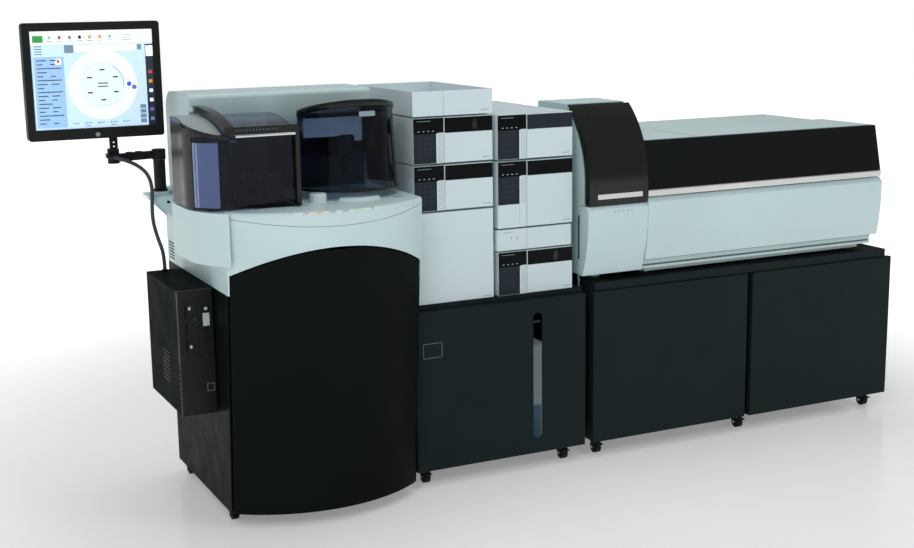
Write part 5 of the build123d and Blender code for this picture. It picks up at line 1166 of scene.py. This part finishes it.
class LINE_OT_station_covers(bpy.types.Operator):
    """What stands behind the smoked covers: boards, bracket, posts, floor and bare labels"""

    bl_idname = "line.station_covers"
    bl_label = "Smoked Covers"

    def execute(self, context):
        self.left()
        self.left_inside()
        self.right()
        return {"FINISHED"}

    def left(self):
        """Roof plate, dark edges and inner skins of the left cover."""
        start, end = corners("prep_left_cover")
        front = start.y
        base = start.z
        corner = arc_through((-0.9765, front), (-1.0425, -0.263), (start.x + 0.002, -0.155), 12)
        crown, bend = circle_through((-0.311, 1.103), (-0.075, end.z), (0.160, 1.105))

        def roof(y):
            """Height of the crowned top."""
            return crown.y + sqrt(bend**2 - (y - crown.x) ** 2)

        cover = Piece("left_cover_edges")
        path = corner + [Vector((start.x + 0.003, y)) for y in (-0.12, -0.09, end.y)]
        centre = Vector((-0.90, -0.10))
        rings = []
        for spot in path[2:]:
            inward = (centre - spot).normalized() * 0.002
            z = roof(spot.y)
            edge, ridge = spot + inward, Vector((ROOF_RIGHT, spot.y))
            rings.append(upright(edge, ridge, z + 0.0004, z + 0.0016))
        cover.skin(rings, "roof_grey")
        rings = []
        for spot in path:
            out = (spot - centre).normalized()
            z = roof(spot.y)
            near, far = spot - out * 0.0002, spot + out * 0.0011
            rings.append(upright(near, far, z - 0.010, z + 0.0010))
        cover.skin(rings, "gloss_black")
        for depth, rise, tone, keep in (
            (0.0045, (0.0015, 0.0050), "gloss_black", path),
            # the blue inner skin carries a painted glow
            (0.0045, (0.0055, 0.179), "board_blue_painted_glow", corner[2:8]),
            (0.0065, (0.0055, 0.186), "board_brown", corner[:3]),
            (-0.0009, (0.0010, None), "board_brown", corner[7:] + path[13:]),
        ):
            rings = []
            for spot in keep:
                rise = (rise[0], roof(spot.y) - base - 0.0095) if depth < 0 else rise
                near = spot - (spot - centre).normalized() * depth
                far = spot - (spot - centre).normalized() * (depth + 0.001)
                low_z, high_z = base + rise[0], base + rise[1]
                rings.append(
                    [(near.x, near.y, low_z), (near.x, near.y, high_z), (far.x, far.y, high_z), (far.x, far.y, low_z)]
                )
            cover.skin(rings, tone)
        right = end.x
        cover.block(
            off(right, -0.0102, -0.0034), (front + 0.004, end.y - 0.002), off(base, 0.002, 0.006), "gloss_black"
        )
        cover.block(off(right, -0.0006, 0.0004), (front + 0.001, end.y), off(base, 0.001, 0.009), "gloss_black")
        for x in grid(13, -0.960, 0.0092):
            cover.peg("y", (x, 1.1225), 0.0013, off(front, -0.0146, -0.0149), "mark_grey", 8)
        cover.done("left_cover")

    def left_inside(self):
        """Dark back wall, bracket, pale strip, posts and the floor below the turntable."""
        start, end = corners("prep_left_cover")
        floor = start.z - 0.0028
        slab = off(floor, 0, 0.0016)
        inside = Piece("turntable_bay")
        back = end.y - 0.006
        inside.block((start.x + 0.020, end.x - 0.008), (back - 0.003, back), (floor, 1.080), "panel_navy")
        for x, y in (((-1.030, -0.910), (-0.262, back)), ((-0.855, end.x - 0.008), (start.y + 0.006, back))):
            inside.block(x, y, slab, "board_dark")
        inside.block(WELL, (-0.290, -0.208), slab, "board_dark")
        inside.block(WELL, (-0.154, back), slab, "board_dark")
        inside.block((-1.012, -0.958), (-0.2455, -0.2435), (SHELF_HEIGHT, 1.088), "bracket_grey")
        # pale strip with a painted glow
        inside.block((-1.004, -0.994), (-0.2440, -0.2410), (floor, SHELF_HEIGHT), "board_pale_painted_glow")
        inside.block((-1.012, -0.940), (-0.2435, -0.2150), (1.084, 1.088), "bracket_grey")
        for x in (-0.985, -0.972):
            inside.peg("z", (x, -0.252), 0.0035, (floor, SHELF_HEIGHT), "board_dark", 12)
        inside.done("line", 0.0003)

    def right(self):
        """Dark side, pale inner plate, dark rim and bare label of the right cover."""
        start, end = corners("prep_right_cover")
        centre = Vector(((start.x + end.x) / 2, start.y + FOOT_RADIUS))
        base, top = start.z, end.z
        fall = TOP_FALL / (end.y - (centre.y - TOP_RADIUS))

        def ring_at(angle, height, inset):
            """A place on the cover's round front, at an angle from its right side."""
            share = (height - base) / (top - base)
            radius = FOOT_RADIUS - share * LEAN - inset
            return Vector((centre.x + radius * cos(angle), centre.y + radius * sin(angle), height))

        def crest(spot):
            """Height of the sloping top over a place."""
            return top - fall * (spot.y - (centre.y - TOP_RADIUS)) - 0.002

        cover = Piece("right_cover_edges")
        rings = []
        for degrees in range(-46, 1, 4):
            angle = radians(degrees)
            rim = [ring_at(angle, base + 0.001, inset) for inset in (0.0035, 0.0048)]
            crown = [ring_at(angle, crest(ring_at(angle, top, 0)), inset) for inset in (0.0048, 0.0035)]
            rings.append(rim + crown)
        tapered = [Vector((spot.x - 0.040, end.y - 0.008, spot.z)) for spot in rings[-1]]
        for spot in tapered[2:]:
            spot.z = crest(spot)
        rings.append(tapered)
        cover.skin(rings, "gloss_black")
        rings = []
        for degrees in range(-180, 1, 5):
            angle = radians(degrees)
            rings.append(
                [
                    ring_at(angle, base + rise, inset)
                    for rise, inset in ((0, 0), (0.006, 0.0002), (0.006, -0.0011), (0, -0.0012))
                ],
            )
        cover.skin(rings, "gloss_black")
        angle = radians(LABEL_TURN)
        spot = ring_at(angle, LABEL_HEIGHT, 0)
        facing = Vector((cos(angle), sin(angle), 0.06))
        cover.pad(spot, facing, rectangle((-0.025, 0.025), (-0.0070, 0.0070), 0.002, 3), 0.0006, "label_film")
        cover.done("right_cover")
        plate = Piece("right_cover_plate")
        y = PLATE_FACE
        outline = [
            (-0.7105, 1.128), (-0.7105, 1.074), (-0.556, 1.074), (-0.556, 1.058), (-0.534, 1.058), (-0.534, 1.128)
        ]
        # pale plate with a painted glow, seen through the smoked cover
        plate.prism("y", outline, (y, y + 0.003), "board_pale_painted_glow")
        plate.block((-0.700, -0.545), off(y, 0.003, 0.060), (1.112, 1.115), "roof_grey")
        plate.done("right_cover")


class LINE_OT_station_hood(bpy.types.Operator):
    """Vent dots, end strips and rear fittings of the hood"""

    bl_idname = "line.station_hood"
    bl_label = "Station Hood"

    def execute(self, context):
        start, end = corners("prep_hood")
        hood = Piece("hood_fittings")
        for z in (1.164, 1.174):
            for x in grid(14, -0.867, 0.0083):
                hood.peg("y", (x, z), 0.0011, (-0.0105, -0.0125), "mark_white", 8)
        for z, y in ((1.158, (-0.002, 0.100)), (1.136, (0.016, 0.110))):
            hood.plate("x", y, (z, z + 0.006), off(end.x, -0.001, 0.0006), "vent_black", 0.002)
        hood.plate("x", (0.060, 0.210), (0.960, 1.120), off(start.x, 0.001, -0.0008), "casing_white", 0.008)
        for x in grid(12, -0.900, 0.016):
            hood.plate("y", (x, x + 0.007), (1.030, 1.090), off(end.y, -0.001, 0.0005), "vent_black", 0.003)
        recess_y = 0.0295
        hood.block((start.x + 0.006, end.x - 0.006), off(recess_y, -0.0008, 0), (0.909, 1.078), "recess_grey")
        hood.done("line")
        return {"FINISHED"}


BUTTON_FROM_CORNER = (0.078, 0.302)
BAY_DEPTH = 0.0021


class LINE_OT_computer(bpy.types.Operator):
    """Drive bay, plate, badge, button, vents and sockets of the computer"""

    bl_idname = "line.computer"
    bl_label = "Computer"

    def execute(self, context):
        start = low("pc_front_panel")
        face = start.y
        button_place = (start.x + BUTTON_FROM_CORNER[0], start.z + BUTTON_FROM_CORNER[1])
        tower = Piece("computer_front")
        for z in grid(3, start.z + 0.186, 0.048):
            tower.plate(
                "y", off(start.x, 0.0195, 0.0245), (z, z + 0.030), off(face, BAY_DEPTH, 0.0012), "steel_dark", 0.001
            )
        plate = rectangle(off(start.x, 0.0695, 0.0885), off(start.z, 0.252, 0.2888), 0.001)
        tower.prism("y", plate, off(face, BAY_DEPTH, 0.0006), "bracket_pale")
        for z in off(start.z, 0.214, 0.232):
            tower.block(off(start.x, 0.074, 0.084), off(face, 0.0010, BAY_DEPTH), (z, z + 0.006), "steel_dark")
        badge, bare = (
            rectangle(
                (start.x + 0.073 + edge, start.x + 0.094 - edge), (start.z + 0.065 + edge, start.z + 0.087 - edge),
                0.002,
            )
            for edge in (0, 0.0012)
        )
        tower.band("y", bare, badge, off(face, 0.001, -0.0005), "mark_grey")
        tower.ring("y", button_place, 0.0095, 0.0078, off(face, 0.0005, -0.0006), "steel_dark")
        tower.done("line")
        button = Piece("power_button_cap")
        button.knob(
            "y", button_place, 0.0050, off(face, -0.0015, -0.0026), (0.0042, face - 0.0030), "bracket_pale", 24
        )
        button.done("power_button")
        marks = Piece("disc_tray_marks")
        for z in off(start.z, 0.192, 0.301):
            marks.plate(
                "y", off(start.x, 0.0295, 0.0365), (z, z + 0.009), off(face, BAY_DEPTH, 0.0014), "bracket_pale", 0.001
            )
        marks.peg("y", (start.x + 0.048, start.z + 0.272), 0.0014, off(face, BAY_DEPTH, 0.0015), "mark_grey", 10)
        marks.done("disc_tray")
        case_low, case_high = corners("pc_case")
        side = Piece("computer_case")
        for z in grid(8, case_low.z + 0.070, 0.012):
            side.plate(
                "x", off(case_low.y, 0.10, 0.18), (z, z + 0.005), off(case_low.x, -0.0004, 0.001), "vent_black", 0.002
            )
        back = case_high.y
        for z in grid(5, case_low.z + 0.060, 0.030):
            side.block(off(case_low.x, 0.020, 0.080), off(back, -0.001, 0.0006), (z, z + 0.018), "alloy")
            side.block(off(case_low.x, 0.030, 0.046), off(back, 0, 0.0012), off(z, 0.005, 0.013), "vent_black")
        fan = (case_low.x + 0.050, case_high.z - 0.070)
        side.ring("y", fan, 0.036, 0.032, off(back, -0.001, 0.0008), "alloy")
        side.peg("y", fan, 0.032, off(back, -0.001, 0.0004), "vent_black", 32)
        side.done("line", 0.0002)
        return {"FINISHED"}


# ---------------------------------------------------------------- mass spectrometer
KNEE = 0.062  # height above the cover's foot where its front starts to bend back
BEND = 0.307
SILVER_HEIGHTS, LAMP_HEIGHTS = (0.838, 0.8535), (0.7955, 0.7995)
ROOF_SEAM = (0.6165, 0.6185)
FEET = ((0.4335, 0.8705, 1.2775, 0.2505), (-0.135, 0.355))
DRAIN = (0.1905, -0.146)


class LINE_OT_source_tower(bpy.types.Operator):
    """Silver plate, lamps, seams, slot and side panel of the source tower"""

    bl_idname = "line.source_tower"
    bl_label = "Source Tower"

    def execute(self, context):
        start, end = corners("ms_source_cover")
        face = start.y
        knee, top = start.z + KNEE, end.z
        cover = Piece("source_cover_fittings")
        cover.plate(
            "y", (start.x + 0.029, end.x - 0.020), SILVER_HEIGHTS, off(face, 0.001, -0.0008), "trim_silver", 0.001
        )

        def curve(z, out=0.0):
            """Y of the bent front at a height."""
            above = max(z - knee, 0)
            return face + BEND - sqrt(BEND**2 - above**2) - out

        for x in (start.x + 0.025, end.x - 0.016):
            rings = []
            for z in grid(24, start.z + 0.002, (top - start.z - 0.006) / 23):
                near, far = curve(z, -0.0010), curve(z, 0.0003)
                rings.append([(x, near, z), (x + 0.0011, near, z), (x + 0.0011, far, z), (x, far, z)])
            cover.skin(rings, "seam_black", smooth=True)
        cover.done("source_cover", 0.0001)
        lower_face = low("ms_source_front").y
        front = Piece("source_front_fittings")
        for x in grid(5, start.x + 0.090, 0.0154):
            front.plate("y", about(x, 0.0016), LAMP_HEIGHTS, off(lower_face, 0.003, -0.0006), "mark_grey", 0.0008, 3)
        front.done("line")
        side_x = low("ms_tower").x
        side = Piece("tower_side")
        side.plate("x", (-0.177, -0.169), (0.646, 0.787), off(side_x, -0.0066, -0.004), "shadow_gap", 0.0036)
        rings = []
        for z in grid(22, 0.824, (top - 0.828) / 21):
            inner = curve(z) + 0.0300
            rings.append(
                [
                    (side_x - 0.0006, inner, z), (side_x - 0.0006, inner + 0.0012, z),
                    (side_x + 0.001, inner + 0.0012, z), (side_x + 0.001, inner, z),
                ],
            )
        side.skin(rings, "shadow_gap", smooth=True)
        side.plate("x", (-0.060, 0.080), (0.640, 0.760), off(side_x, 0.001, -0.0008), "casing_white", 0.010)
        corner = high("ms_tower")
        side.plate(
            "z", (side_x + 0.012, corner.x - 0.012), (-0.045, 0.084), off(corner.z, -0.001, 0.0008), "casing_white",
            0.006,
        )
        side.done("line", 0.0002)
        return {"FINISHED"}


class LINE_OT_analyser(bpy.types.Operator):
    """Grooves, roof seams, feet, vents, rear sockets, painted bench shadow and drain fitting of the analyser"""

    bl_idname = "line.analyser"
    bl_label = "Analyser"

    def execute(self, context):
        start, end = corners("ms_front_panel")
        casing_low, casing_high = corners("ms_casing")
        case = Piece("analyser_fittings")
        case.block((start.x + 0.002, end.x - 0.014), (-0.1985, -0.196), (0.6265, 0.6312), "shadow_gap")
        case.block((start.x + 0.003, casing_high.x - 0.008), (-0.1876, -0.1862), (0.6045, 0.6105), "seam_grey")
        roof = casing_high.z
        case.block(ROOF_SEAM, (-0.170, 0.080), off(roof, -0.001, 0.0004), "seam_grey")
        case.block(
            (casing_low.x + 0.004, casing_high.x - 0.006), (0.0805, 0.0818), off(roof, -0.008, -0.0002), "seam_grey"
        )
        case.block(ROOF_SEAM, (0.084, 0.410), off(roof, -0.007, -0.0056), "seam_grey")
        for x, y in [(x, y) for x in FEET[0] for y in FEET[1]]:
            case.knob("z", (x, y), 0.023, (0.5735, 0.579), (0.021, 0.582), "rubber_black", 24)
        right = casing_high.x
        for z in grid(9, 0.690, 0.016):
            case.plate("x", (0.120, 0.300), (z, z + 0.007), off(right, -0.001, 0.0005), "vent_black", 0.003)
        rear = high("ms_tower").y
        for z in grid(12, 0.860, 0.010):
            case.plate("y", (0.560, 0.900), (z, z + 0.0045), off(rear, -0.001, 0.0006), "vent_black", 0.002)
        for x, wide in ((0.500, 0.052), (0.580, 0.034), (0.640, 0.022), (0.690, 0.022)):
            case.plate("y", (x, x + wide), (0.665, 0.690), off(rear, -0.001, 0.0015), "matte_black", 0.002)
            case.plate("y", (x + 0.004, x + wide - 0.004), (0.669, 0.686), off(rear, 0, 0.0022), "alloy", 0.001)
        case.ring("y", (1.0275, 0.716), 0.0165, 0.0128, off(rear, 0.004, 0.0125), "alloy", 28)
        case.done("line", 0.0002)
        self.joint()
        # A thin black sheet on the bench top: painted shadow under the analyser
        shadow_sheet = Piece("bench_painted_shadow")
        shadow_sheet.block((0.214, 1.392), (-0.205, 0.430), (0.5732, 0.5736), "shadow_gap")
        shadow_sheet.done("line")
        return {"FINISHED"}

    def joint(self):
        """Ring fitting and drain tube between the chromatograph and the bench."""
        fitting = Piece("drain_fitting")
        fitting.ring("y", (DRAIN[0], 0.5455), 0.0085, 0.0045, about(DRAIN[1], 0.004), "bracket_grey")
        fitting.tube(
            [(*DRAIN, 0.5545), (0.1915, -0.146, 0.572), (0.1920, -0.140, 0.592), (0.1900, -0.120, 0.6100)], 0.0032,
            "hose_blue",
        )
        fitting.block((0.1770, 0.1880), (-0.149, -0.143), (0.5425, 0.5485), "bracket_grey")
        fitting.done("line", 0.0003)


HEAD_WALL, HEAD_HEIGHT = 0.056, 0.074  # where a pump's heads sit, from the module's low front corner
RACK_DEPTH, VIAL_PITCH = 0.110, 0.020
TUBE_CIRCLE = 0.074


class LINE_OT_interiors(bpy.types.Operator):
    """Pump heads, vials, column and source fittings seen when doors are open"""

    bl_idname = "line.interiors"
    bl_label = "Interiors"

    def execute(self, context):
        for name in ("pump_a", "pump_b", "pump_c"):
            self.pump(name)
        self.vials()
        self.column()
        self.source()
        self.turntable()
        return {"FINISHED"}

    def pump(self, name):
        """Head screws, check valves and capillaries of a pump."""
        start, end = corners("lc_" + name)
        middle = start.x + (1 + CONTROL_SHARE) / 2 * (end.x - start.x)
        wall = start.y + HEAD_WALL
        z = start.z + HEAD_HEIGHT
        heads = Piece(name + "_heads")
        for x in about(middle, 0.030):
            heads.knob("y", (x, z), 0.0135, off(wall, -0.0255, -0.0272), (0.009, wall - 0.0280), "steel", 28)
            for spot in around((x, z), 0.0125, 4, 45):
                heads.peg("y", spot, 0.0022, off(wall, -0.0255, -0.0280), "chrome", 10)
            heads.peg("z", (x, wall - 0.008), 0.0058, off(z, 0.022, 0.030), "steel", 6)
            heads.tube(
                [
                    (x, wall - 0.008, z + 0.037), (x + 0.006, wall - 0.012, z + 0.043),
                    (middle, wall - 0.014, z + 0.045),
                ],
                0.0010, "steel", 8,
            )
        heads.knob(
            "y", (middle, z - 0.042), 0.0115, off(wall, -0.0215, -0.0270), (0.010, wall - 0.0282), "matte_black", 24
        )
        heads.done("line", 0.0002)

    def vials(self):
        """Vials with caps in the autosampler's rack."""
        start, end = corners("lc_autosampler")
        middle = start.x + (1 + CONTROL_SHARE) / 2 * (end.x - start.x)
        rack = (middle, start.y + RACK_DEPTH)
        foot = start.z + 0.0165
        vials = Piece("vials")
        for x in grid(5, rack[0] - 2 * VIAL_PITCH, VIAL_PITCH):
            for y in grid(5, rack[1] - 2 * VIAL_PITCH, VIAL_PITCH):
                vials.knob("z", (x, y), 0.0056, off(foot, 0, 0.024), (0.0040, foot + 0.027), "clear", 12)
                # The caps share the screen's glowing blue, so they carry a painted glow
                vials.peg("z", (x, y), 0.0052, off(foot, 0.027, 0.033), "sign_blue", 12)
        vials.done("line")

    def column(self):
        """Capillaries, label sleeve and fitting nuts of the column."""
        start, end = corners("lc_column")
        centre = ((start.y + end.y) / 2, (start.z + end.z) / 2)
        column = Piece("column_fittings")
        column.peg("x", centre, 0.0053, off(start.x, 0.020, 0.035), "mark_grey")
        for side, x in ((-1, start.x), (1, end.x)):
            column.peg("x", centre, 0.0045, (x - side * 0.001, x + side * 0.008), "steel", 6)
            bends = ((0.007, 0, 0), (0.018, 0, 0.002), (0.0215, 0.006, 0.014), (0.0215, 0.014, 0.030))
            route = [(x + side * out, centre[0] + back, centre[1] + rise) for out, back, rise in bends]
            column.tube(route, 0.0009, "steel", 8)
        column.done("line")

    def source(self):
        """Window, window ring and bolts of the ion source."""
        start = low("ms_ion_source")
        centre = (0.2845, start.z + 0.066)
        source = Piece("source_fittings")
        source.ring("y", centre, 0.040, 0.030, off(start.y, 0.001, -0.003), "alloy", 36)
        source.peg("y", centre, 0.030, off(start.y, 0.001, -0.0012), "display_black", 36)
        for spot in around(centre, 0.0355, 6, 30):
            source.peg("y", spot, 0.0028, off(start.y, -0.003, -0.0052), "chrome", 12)
        source.done("line", 0.0002)

    def turntable(self):
        """Knob, engraved ring and caps of the tubes."""
        start, end = corners("prep_turntable")
        centre = ((start.x + end.x) / 2, (start.y + end.y) / 2)
        plate = start.z + 0.0176
        disc_top = Piece("turntable_fittings")
        disc_top.ring("z", centre, 0.060, 0.0585, off(plate, -0.0005, 0.0004), "mark_grey", 48)
        disc_top.turned(
            "z", centre,
            [(0.0165, end.z - 0.018), (0.0165, end.z - 0.004), (0.014, end.z - 0.0005), (0.014, end.z + 0.001)],
            "matte_black", 30,
        )
        tube_top = high("prep_sample_tubes").z
        for spot in disc(centre, TUBE_CIRCLE, 16):
            disc_top.knob("z", spot, 0.0066, off(tube_top, -0.007, 0.003), (0.0055, tube_top + 0.0045), "cap_dark", 16)
        disc_top.done("turntable", 0.0002)


OPERATORS = [
    LINE_OT_node_finishes,
    LINE_OT_stage,
    LINE_OT_monitor_cable,
    LINE_OT_monitor,
    LINE_OT_module_fronts,
    LINE_OT_slim_fronts,
    LINE_OT_cabinets,
    LINE_OT_station_deck,
    LINE_OT_station_covers,
    LINE_OT_station_hood,
    LINE_OT_computer,
    LINE_OT_source_tower,
    LINE_OT_analyser,
    LINE_OT_interiors,
]


class LINE_PT_sidebar(bpy.types.Panel):
    """Lists the operators"""

    bl_idname = "LINE_PT_sidebar"
    bl_label = "Spectrometer Line"
    bl_space_type = "VIEW_3D"
    bl_region_type = "UI"
    bl_category = "Line"

    def draw(self, context):
        column = self.layout.column(align=True)
        for operator in OPERATORS:
            column.operator(operator.bl_idname)


SETTINGS = {"line_colours": LineColours, "line_fronts": FrontSizes, "line_stage": StageSettings}


def register():
    for group in SETTINGS.values():
        bpy.utils.register_class(group)
    for operator in OPERATORS:
        bpy.utils.register_class(operator)
    bpy.utils.register_class(LINE_PT_sidebar)
    for name, group in SETTINGS.items():
        setattr(bpy.types.Scene, name, PointerProperty(type=group))


def unregister():
    for name in SETTINGS:
        delattr(bpy.types.Scene, name)
    bpy.utils.unregister_class(LINE_PT_sidebar)
    for operator in reversed(OPERATORS):
        bpy.utils.unregister_class(operator)
    for group in SETTINGS.values():
        bpy.utils.unregister_class(group)


def main():
    """Register the add-on and run every operator in order."""
    register()
    for operator in OPERATORS:
        group, action = operator.bl_idname.split(".")
        getattr(getattr(bpy.ops, group), action)()


if __name__ == "__main__":
    main()
